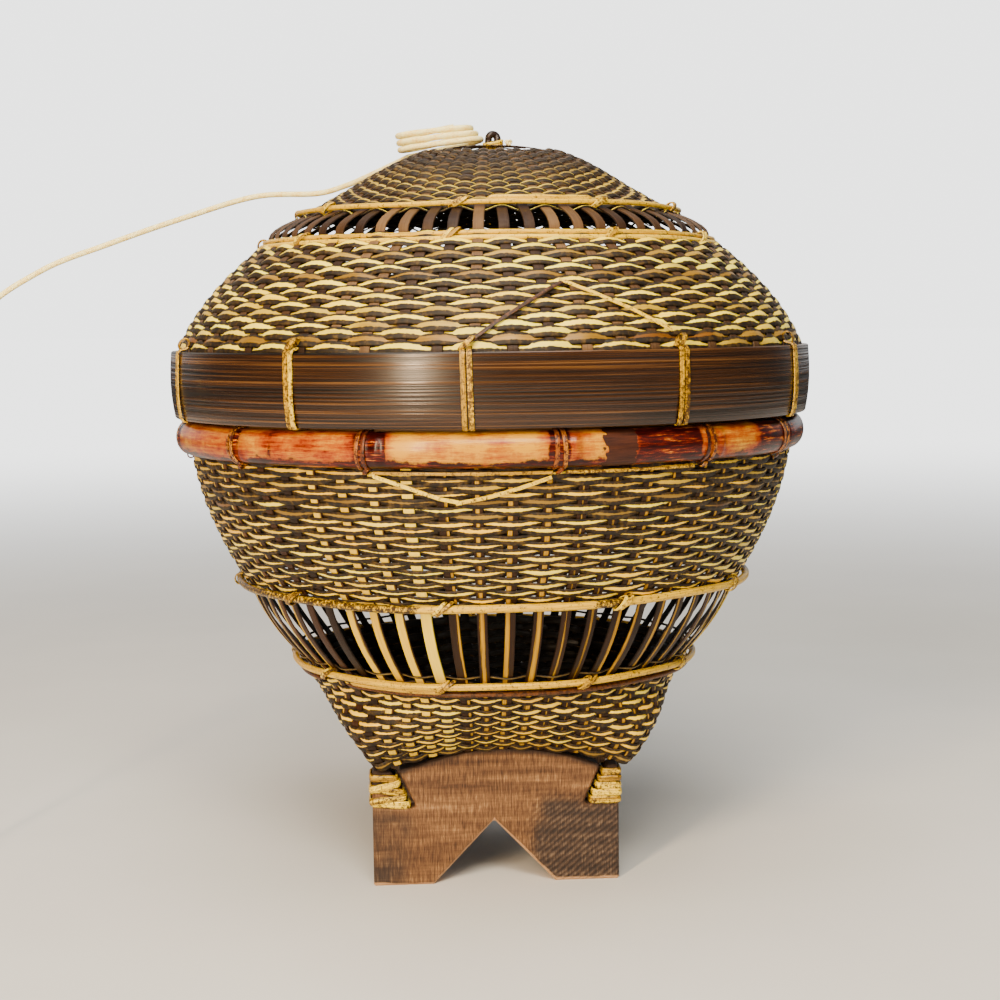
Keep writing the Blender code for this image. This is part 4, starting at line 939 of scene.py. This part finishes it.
# %% Rim pole
RIM_MIDDLE, RIM_HALF, RIM_FLAT, RIM_DEPTH = 0.2070, 0.0077, 0.1430, 0.0063
RIM_STATIONS, SECOND_NODE = 720, -52.7
RED_SPANS = [
    (-90.0, -78.0, 0.9), (-54.0, -50.5, 0.6), (-44.0, -41.0, 0.4), (-26.5, -20.0, 0.75), (5.0, 9.5, 0.8),
    (19.8, 33.0, 0.75), (47.6, 58.0, 0.85), (58.5, 82.0, 1.0), (95.0, 112.0, 0.7), (140.0, 155.0, 0.8),
    (-176.0, -160.0, 0.6), (-140.0, -118.0, 0.8),
]
YELLOW_SPANS = [(-19.5, 4.5, 1.0), (9.8, 14.5, 0.6), (34.5, 46.0, 0.3), (170.0, 178.0, 0.8)]
CHIPS = [(14.4, 20.1, 1.0), (119.5, 123.5, 1.0), (-108.5, -103.5, 1.0)]


def hump(away, middle, reach):
    """A smooth hump of height 1: exp(-((away - middle) / reach)^2)."""
    return np.exp(-(((away - middle) / reach) ** 2))


bearing = 180.0 + np.arange(RIM_STATIONS) * 360.0 / RIM_STATIONS
turn = np.radians(bearing)[:, None]
section = np.linspace(-0.5, 0.5, 13) * math.pi
gap = np.abs((bearing[:, None] - (RIM_TIES + 2.6) + 180.0) % 360.0 - 180.0).min(axis=1, keepdims=True)
second = np.abs((bearing[:, None] - SECOND_NODE + 180.0) % 360.0 - 180.0)
ridge = 0.0006 * hump(gap, 0.0, 0.45) - 0.0003 * hump(gap, 1.2, 0.5) + 0.0006 * hump(second, 0.5, 0.35)
uneven = 0.00018 * np.sin(turn * 9.0) + 0.00012 * np.sin(turn * 23.0 + 1.0)
radius = RIM_FLAT + (RIM_DEPTH + ridge + uneven) * np.cos(section) ** 0.85
height = RIM_MIDDLE + (RIM_HALF + 0.5 * uneven) * np.sin(section)
radius = np.pad(radius, ((0, 0), (0, 2)), constant_values=RIM_FLAT)
back = np.broadcast_to(RIM_MIDDLE + RIM_HALF * np.array((0.6, -0.6)), (RIM_STATIONS, 2))
height = np.concatenate([height, back], axis=1)
pole = polar(radius, turn, height)[:, ::-1]
red = spans_of(bearing, RED_SPANS, 3.0) - spans_of(bearing, YELLOW_SPANS, 3.0)
bare, level = spans_of(bearing, CHIPS, 2.6)[:, None], (height - RIM_MIDDLE) / RIM_HALF * 0.5 + 0.5
lacquer = np.stack(np.broadcast_arrays(red[:, None], bare, level, hump(gap, 0.0, 1.0)), axis=-1)[:, ::-1]

finish_pole, add, shader = new_finish(
    "lacquered bamboo pole", {"Specular IOR Level": 0.2, "Coat Weight": 0.14, "Coat Roughness": 0.16},
)
redness, bare, level, node, _ = point_values(add, "lacquer")
spot = add("TexCoord", take=OBJECT)
streak = fibres(add, spot, (70.0, 70.0, 900.0), 5.0, 0.75)
cloud = add("TexNoise", [spot], Scale=70.0, Detail=6.0, Roughness=0.72)
zigzag = add("TexNoise", [spot], Scale=300.0, Detail=1.0)
half = add("Math", [add("Math", [streak, cloud], "ADD"), 0.5], "MULTIPLY")
golden = add("Math", [redness, -0.09, half])
worn = add("ValToRGB", [golden], stops=[
    (0.36, "360800"), (0.43, "802600"), (0.49, "A04A00"), (0.55, "B06C00"), (0.62, "CC9200"),
])
deep = add("ValToRGB", [streak], stops=[(0.3, "0C0000"), (0.50, "300300"), (0.58, "6C1800"), (0.66, "D88010")])
wood = add("ValToRGB", [streak], stops=[(0.3, "1A0804"), (0.7, "4A2412")])
under = add("MapRange", [level, 0.42, 0.12, 0.0, 0.6])
patchy = add("Math", [cloud, 1.5, add("Math", [redness, under], "MAXIMUM")])
red_mask = add("MapRange", [patchy, 1.10, 1.30], "SMOOTHSTEP")
node_dark = add("Math", [node, 0.35, red_mask])
lacquered = add("Mix", {0: node_dark, 6: worn, 7: deep}, take=2)
chip = add("MapRange", [add("Math", [zigzag, 1.2, bare]), 1.09, 1.13])
colour = add("Mix", {0: chip, 6: lacquered, 7: wood}, take=2)
relief = add("Math", [chip, -1.2, streak])
finish_surface(add, shader, colour, relief, 0.35, [chip, 0.0, 1.0, 0.28, 0.62])
make_piece(
    "rim_pole", pole, carried_faces(1, *pole.shape[:2], closed=True), finish_pole, "basket", ("rim_hoop",),
    "lacquered_bamboo", crease=60.0, lacquer=lacquer,
)


# %% [markdown]
# Split cane ties hold the pole and the lid's bands. Each one is two strands side by
# side, with a small knot where they are locked.

# %% Ties over the rim pole and the lid's band
def strap_lines(bearing, path, slant, stations=24):
    """A strand over a (radius, height) path at a bearing, drifting sideways by slant metres."""
    travelled = np.concatenate([[0.0], np.cumsum(np.linalg.norm(np.diff(path, axis=0), axis=1))])
    marks = np.linspace(0.0, travelled[-1], stations)
    radius, height = np.interp(marks, travelled, path[:, 0]), np.interp(marks, travelled, path[:, 1])
    turn = math.radians(bearing) + slant * np.linspace(-0.5, 0.5, stations) / 0.15
    face = polar(np.gradient(height), turn, -np.gradient(radius))
    return polar(radius, turn, height)[None], unit(face[None])


angle = np.radians(np.linspace(-100.0, 100.0, 15))
pole_path = np.stack([RIM_FLAT + 0.0068 * np.cos(angle), RIM_MIDDLE + 0.0082 * np.sin(angle)], axis=1)
for i, tie in enumerate(RIM_TIES):
    spread = rng.uniform(0.45, 0.75)
    make_ties(f"rim_tie_strands_{i + 1:02d}", [
        strap_lines(tie - spread, pole_path, rng.uniform(-0.001, 0.001)),
        strap_lines(tie + spread, pole_path * (1.001, 1.0), rng.uniform(-0.001, 0.001)),
        wrap_lines([tie + 0.3], 0.1436, 0.1985, 0.0015, 0.0015, 0.0012),
    ], 0.0019, 0.0007, lacquered_cane, "basket", (f"rim_tie_{i + 1:02d}",), "brown_cane")

band_path = np.array([
    (148.6, -0.6), (150.0, -0.7), (151.4, 1.2), (152.5, 10.0), (152.6, 20.0), (152.1, 30.8), (151.2, 32.0),
    (149.2, 32.2), (147.6, 33.0),
]) / 1000.0 + (0.0, SEAT)
for i, tie in enumerate(BAND_TIES):
    spread = rng.uniform(0.45, 0.56)
    aside, slant = rng.uniform(-0.5, 0.5), rng.uniform(-0.003, 0.003)
    make_ties(f"lid_tie_strands_{i + 1:02d}", [
        strap_lines(tie - spread, band_path, rng.uniform(-0.0012, 0.0012)),
        strap_lines(tie + spread, band_path * (1.0008, 1.0), rng.uniform(-0.0012, 0.0012)),
        wrap_lines([tie + aside], 0.1492, SEAT + 0.0345, 0.0022, 0.0026, slant),
    ], 0.0023, 0.0008, tie_cane, "lid", (f"lid_tie_{i + 1:02d}",))


# %% [markdown]
# One strip on the lid rises from a band tie to a point and falls to the next tie, and
# one under the rim pole dips the same way. They follow the wall just above the floats.

# %% Chevrons
def wall_line(wall, marks, lift, stations=60):
    """Line through (bearing, level) marks on the round part of a wall, lifted off it."""
    marks, share = np.array(marks), np.linspace(0.0, len(marks) - 1.0, stations)
    bearing, level = (np.interp(share, np.arange(len(marks)), column) for column in marks.T)
    points, normals = on_wall(wall, bearing / 90.0 + 0.5, level)
    return (points + normals * lift)[None], normals[None]


rising = wall_line(lid_wall, [(-6.6, 0.07), (-2.6, 0.21), (2.4, 0.355), (7.0, 0.475), (9.8, 0.535)], 0.0026)
falling = wall_line(lid_wall, [(9.0, 0.545), (14.0, 0.45), (20.5, 0.31), (27.4, 0.13)], 0.0028)
make_ties("lid_chevron_strip_dark", [rising], 0.0017, 0.0008, dark_cane, "lid", (), "brown_cane")
make_ties("lid_chevron_strip_pale", [falling], 0.0017, 0.0008, gold_cane, "lid", ("lid_chevron",))
falling = wall_line(body_wall, [(-23.4, 2.775), (-18.0, 2.72), (-12.0, 2.655), (-8.6, 2.635)], 0.0028)
rising = wall_line(body_wall, [(-9.6, 2.63), (-4.0, 2.665), (1.0, 2.71), (6.2, 2.765)], 0.0026)
make_ties("rim_chevron_strip", [falling, rising], 0.0017, 0.0008, gold_cane, "basket", ("rim_chevron",))
left = wall_line(body_wall, [(-23.4, 2.785), (-10.0, 2.783), (6.4, 2.785)], 0.0022)
right = wall_line(body_wall, [(8.6, 2.785), (20.0, 2.783), (33.0, 2.785)], 0.0022)
make_ties("rim_under_strip", [left, right], 0.0014, 0.0008, tie_cane, "basket")


# %% [markdown]
# The foot boards keep their CAD shape and get the look of rough-sawn wood. Upright
# scratches from the saw, faint level bands, slanted saw marks on one foot, pale wear
# along the lower edges, and a painted shadow under the arch where the basket sits on
# it are all drawn from the place on the board. The back board is the front one
# turned, so its place is turned back first.

# %% Sawn wood of the foot boards
NOTCH_MIDDLE, NOTCH_HALF, NOTCH_TOP = -0.0044, 0.0284, 0.0298
ARCH_TOP, ARCH_FALL = 0.0636, -4.74
finish_board, add, shader = new_finish("rough-sawn hardwood", {"IOR": 1.45, "Roughness": 0.72})
across, y, z = add("SeparateXYZ", [add("TexCoord", take=OBJECT)]).node.outputs
x = add("Math", [across, add("Math", [add("Math", [y], "SIGN"), -1.0], "MULTIPLY")], "MULTIPLY")
own = add("CombineXYZ", [x, y, z])
scratch = fibres(add, own, (1500.0, 300.0, 130.0), 4.0, 0.75)
band = fibres(add, own, (22.0, 22.0, 260.0), 3.0, 0.6)
cloud = add("TexNoise", [own], Scale=45.0, Detail=3.0, Roughness=0.55)
slant = add("Math", [cloud, 0.004, add("Math", [x, -0.75, z])])
saw = add("Math", [add("Math", [slant, 2200.0], "MULTIPLY")], "SINE")
low_down = add("MapRange", [z, 0.048, 0.030], "SMOOTHSTEP")
right_foot = add("MapRange", [x, 0.004, 0.026], "SMOOTHSTEP")
left_foot = add("MapRange", [x, -0.030, -0.048], "SMOOTHSTEP")
right_low = add("Math", [right_foot, low_down], "MULTIPLY")
left_low = add("Math", [left_foot, low_down], "MULTIPLY")
sawn = add("Math", [right_low, saw], "MULTIPLY")
grained = add("Math", [band, 0.38, add("Math", [scratch, 0.62], "MULTIPLY")])
lined = add("Math", [sawn, 0.055, grained])
warm = add("ValToRGB", [lined], stops=[(0.34, "220F05"), (0.47, "54361C"), (0.55, "714E2D"), (0.66, "A07A4C")])
cool = add("ValToRGB", [lined], stops=[(0.34, "0E0806"), (0.47, "271A14"), (0.56, "402F23"), (0.68, "6A5745")])
greyed = add("Math", [cloud, 1.2, add("Math", [left_low, 0.6, right_low])])
cool_share = add("MapRange", [greyed, 0.85, 1.45], "SMOOTHSTEP")
wood = add("Mix", {0: cool_share, 6: warm, 7: cool}, take=2)

off_middle = add("Math", [add("Math", [x, NOTCH_MIDDLE], "SUBTRACT")], "ABSOLUTE")
notch_line = add("Math", [off_middle, -NOTCH_TOP / NOTCH_HALF, NOTCH_TOP])
edge = add("Math", [add("Math", [z, notch_line], "SUBTRACT"), z], "MINIMUM")
worn_edge = add("MapRange", [add("Math", [cloud, -0.0032, edge]), -0.0002, -0.0012, 0.0, 0.75])
pale_edge = add("Mix", {0: worn_edge, 6: wood, 7: tint("C79A6C")}, take=2)
# Painted shadow: below the arched top edge, where the basket's bottom sits, the wood darkens to near-black brown.
arch_line = add("Math", [add("Math", [x, x], "MULTIPLY"), ARCH_FALL, ARCH_TOP])
below_arch = add("Math", [cloud, -0.004, add("Math", [arch_line, z], "SUBTRACT")])
arch_shadow = add("MapRange", [below_arch, 0.0015, -0.0014, 0.0, 0.9])
colour = add("Mix", {0: arch_shadow, 6: pale_edge, 7: tint("1C0E08")}, take=2)
finish_surface(add, shader, colour, add("Math", [sawn, 0.25, lined]), 0.55, deep=0.0006)
for name in ("foot_board_front", "foot_board_back"):
    nodes[name].material_slots[0].material = finish_board


# %% [markdown]
# Five turns of split cane bind each horn of a board. A turn is a closed loop round the
# horn, from the slot to the board's end, and it leans, so that the turns lie across
# each other as hand-wound ones do.

# %% Corner lashings
BOARD_MIDDLE, BOARD_HALF = -0.051, 0.006


def horn_turn(end, low, high, thick, stations=56):
    """One turn: a rounded rectangle of the board's depth, from the slanted slot to the end.

    low and high are its heights at the slot and at the board's end.
    """
    slot = 0.0408 + 0.453 * (low - 0.0375) + 0.0017
    reach = np.array(((end - slot) / 2.0, BOARD_HALF)) + 0.0004 + thick / 2.0
    angle = np.arange(stations) * math.tau / stations
    c, s = np.cos(angle), np.sin(angle)
    round_by = (np.abs(c) ** 7 + np.abs(s) ** 7) ** (-1.0 / 7.0)
    x, y = c * round_by, s * round_by
    height = low + (high - low) * (x + 1.0) / 2.0
    line = points_of((slot + end) / 2.0 + reach[0] * x, BOARD_MIDDLE + reach[1] * y, height)
    return line, unit(points_of(np.abs(c) ** 6 * np.sign(c), np.abs(s) ** 6 * np.sign(s), 0.0))


LASHINGS = {
    "front_right": (0.0552, 1.0, 1.0, [(38.0, 37.8), (41.2, 41.4), (44.6, 44.5), (47.7, 48.1), (50.8, 51.2)]),
    "front_left": (0.0588, -1.0, 1.0, [(37.8, 39.2), (41.8, 39.6), (43.6, 46.2), (48.2, 45.2), (50.2, 51.0)]),
    "back_left": (0.0552, 1.0, -1.0, [(38.0, 38.4), (41.0, 41.8), (44.8, 44.0), (47.6, 48.4), (51.0, 50.6)]),
    "back_right": (0.0588, -1.0, -1.0, [(37.6, 38.6), (41.4, 41.0), (44.2, 45.2), (48.0, 47.0), (50.6, 51.0)]),
}
for name, (end, side, front, heights) in LASHINGS.items():
    turns = [horn_turn(end, *height, 0.0009 + 0.0004 * (i % 2)) for i, height in enumerate(np.array(heights) / 1000.0)]
    lines, facing = (np.stack(part) * (side, 1.0, 1.0) for part in zip(*turns))
    lines, facing = (lines + (-0.0016, 0.0, 0.0)) * (front, front, 1.0), facing * (front, front, 1.0)
    if side < 0.0:
        lines, facing = lines[:, ::-1], facing[:, ::-1]
    count, stations = lines.shape[:2]
    wide = 0.0035 * (1.0 + 0.08 * wander(count, np.arange(stations)[None] * 4.0 / stations, (2, 3, 5)))
    carried_piece(
        "lashing_" + name, lines, facing, SPLINT, wide, 0.0013, lash_cane, "basket", ("corner_lashing_" + name,),
        tone=rng.uniform(0.2, 0.9, count), extra=rng.uniform(0.0, 0.5, (count, 1)), closed=True,
    )


# %% [markdown]
# A dark loop of cane stands on the middle of the crown, bound with tan turns at its
# foot, and a small pale knot lies beside it. Black strands fan out from under the
# binding over the crown's middle.

# %% Loop, binding and strands at the top
CROWN_TOP, LOOP_ASIDE, LOOP_HALF = SEAT + 0.1246, (0.0026, 0.0, 0.0), 0.0021
STRANDS, KNOT_POINTS = 25, 90
angle = np.linspace(0.0, math.pi, 25)
arch = points_of(
    LOOP_HALF * np.cos(angle), 0.0006 * np.sin(2.0 * angle), CROWN_TOP + 0.0052 + LOOP_HALF * np.sin(angle),
)
right_leg = np.linspace((0.0024, 0.0, CROWN_TOP - 0.0002), arch[0], 6)[:-1]
left_leg = np.linspace(arch[-1], (-0.0024, 0.0, CROWN_TOP - 0.0002), 6)[1:]
loop = np.concatenate([right_leg, arch, left_leg])[None] + LOOP_ASIDE
carried_piece(
    "crown_loop_cane", loop, (0.0, -1.0, 0.0), ROUND, 0.0034, 0.0034, loop_cane, "lid", ("crown_loop",), "brown_cane",
    [0.4], 0.3,
)

angle = np.arange(32) * math.tau / 32
level = CROWN_TOP + np.array([0.0008, 0.0021, 0.0034])[:, None]
binding = points_of(0.0046 * np.cos(angle), 0.0022 * np.sin(angle), level + 0.0009 * np.cos(angle + 90.0 * level))
carried_piece(
    "loop_binding", binding + LOOP_ASIDE, polar(1.0, angle + math.pi / 2.0, 0.0), FLAT, 0.0014, 0.0008, lash_cane,
    "lid", tone=rng.uniform(0.2, 0.8, 3), closed=True,
)

toward = np.concatenate([np.linspace(-82.0, 80.0, 17), np.linspace(112.0, 250.0, 8)])
toward = np.radians(toward + rng.normal(0.0, 3.0, STRANDS))
reach = np.linspace(0.0034, 1.0, 16) * rng.uniform(0.017, 0.029, (STRANDS, 1))
sway = toward[:, None] + rng.normal(0.0, 0.10, (STRANDS, 1)) * np.sin(reach * 160.0)
strands = polar(reach, sway, CROWN_TOP + 0.0015 - CROWN_DOME * (reach / CROWN_HALF) ** 2)
carried_piece(
    "crown_strands", strands, UP, FLAT, 0.0010, 0.0006, loop_cane, "lid", (), "brown_cane",
    rng.uniform(0.0, 1.0, STRANDS),
)

t = np.arange(KNOT_POINTS) * math.tau / KNOT_POINTS
knot = points_of(np.sin(t) + 2.0 * np.sin(2.0 * t), np.sin(3.0 * t) * 0.8, np.cos(t) - 2.0 * np.cos(2.0 * t))
knot = (knot * 0.00052 + (0.0098, -0.0030, CROWN_TOP + 0.0030))[None]
carried_piece(
    "crown_knot", knot, unit(knot - knot.mean(axis=1, keepdims=True)), ROUND, 0.0010, 0.0010, finish_cord, "lid", (),
    "pale_cord", closed=True,
)


# %% [markdown]
# A plain pale floor that brightens with distance until it meets the pale backdrop, as a
# studio sheet does. Only the view itself sees the full brightness: the light that the
# room sends to the basket is dim in front, so that dark cane isn't veiled by reflections.

# %% Floor and room
PALE, BACKDROP, FLOOR_HALF = "EEEFEE", 3.4, 40.0
finish_floor, add, shader = new_finish("matt pale floor", {"Roughness": 0.8, "Emission Color": tint(PALE)})
spot = add("TexCoord", take=OBJECT)
cloud = add("TexNoise", [spot], Scale=6.0, Detail=3.0)
hue = add("ValToRGB", [cloud], stops=[(0.3, "D2D1CE"), (0.7, "D9D8D5")])
far = add("MapRange", [add("VectorMath", [spot], take=1), 0.5, 3.2], "SMOOTHSTEP")
fading = add("Mix", {0: far, 6: hue, 7: tint("000000")}, take=2)
glowing = add("Math", [far, add("LightPath")], "MULTIPLY")
feed(shader, {"Base Color": fading, "Emission Strength": add("Math", [glowing, BACKDROP], "MULTIPLY")})
corners = [(x * FLOOR_HALF, y * FLOOR_HALF, 0.0) for x, y in ((-1, -1), (1, -1), (1, 1), (-1, 1))]
mesh = bpy.data.meshes.new("floor")
mesh.from_pydata(corners, [], [(0, 1, 2, 3)])
mesh.materials.append(finish_floor)
floor = bpy.data.objects.new("floor", mesh)
bpy.context.scene.collection.objects.link(floor)

world = bpy.data.worlds.new("pale room")
world.use_nodes = True
add = partial(add_node, world.node_tree)
glow = add("MapRange", [add("SeparateXYZ", [add("TexCoord")], take=1), 0.45, 0.80, 0.15, 1.0])
strength = add("Mix", {0: add("LightPath"), 2: glow, 3: BACKDROP}, "FLOAT")
feed(world.node_tree.nodes["Background"], {"Color": tint(PALE), "Strength": strength})
bpy.context.scene.world = world


# %% [markdown]
# A narrow warm window at the left gives the sheen on the bamboo, and a broad soft light
# over the camera does most of the work. A weak fill and a wide light from above keep the
# shadows soft.

# %% Lights
def soft_light(name, place, aim, size, power, colour="FFFAF0"):
    """An area light of (width, height) at a place, turned so that it shines at the aim."""
    data = bpy.data.lights.new(name, "AREA")
    data.shape = "RECTANGLE"
    data.size, data.size_y = size
    data.energy = power
    data.color = tint(colour)[:3]
    light = bpy.data.objects.new(name, data)
    bpy.context.scene.collection.objects.link(light)
    direction = np.array(aim) - np.array(place)
    yaw = math.atan2(direction[1], direction[0]) - math.pi / 2.0
    pitch = math.atan2(direction[2], math.hypot(direction[0], direction[1])) + math.pi / 2.0
    light.rotation_euler = (pitch, 0.0, yaw)
    light.location = place


soft_light("window", (-0.76, -1.42, 0.70), (0.0, 0.0, 0.2), (0.13, 1.3), 48.0, "FFDDB0")
soft_light("key", (0.0, -1.45, 1.5), (0.0, 0.0, 0.2), (0.9, 0.6), 43.0, "FFF4E0")
soft_light("fill", (1.2, -1.1, 0.9), (0.0, 0.0, 0.15), (1.0, 1.0), 1.8)
soft_light("top", (-0.1, -0.25, 1.7), (0.0, 0.0, 0.2), (1.2, 1.2), 24.0)
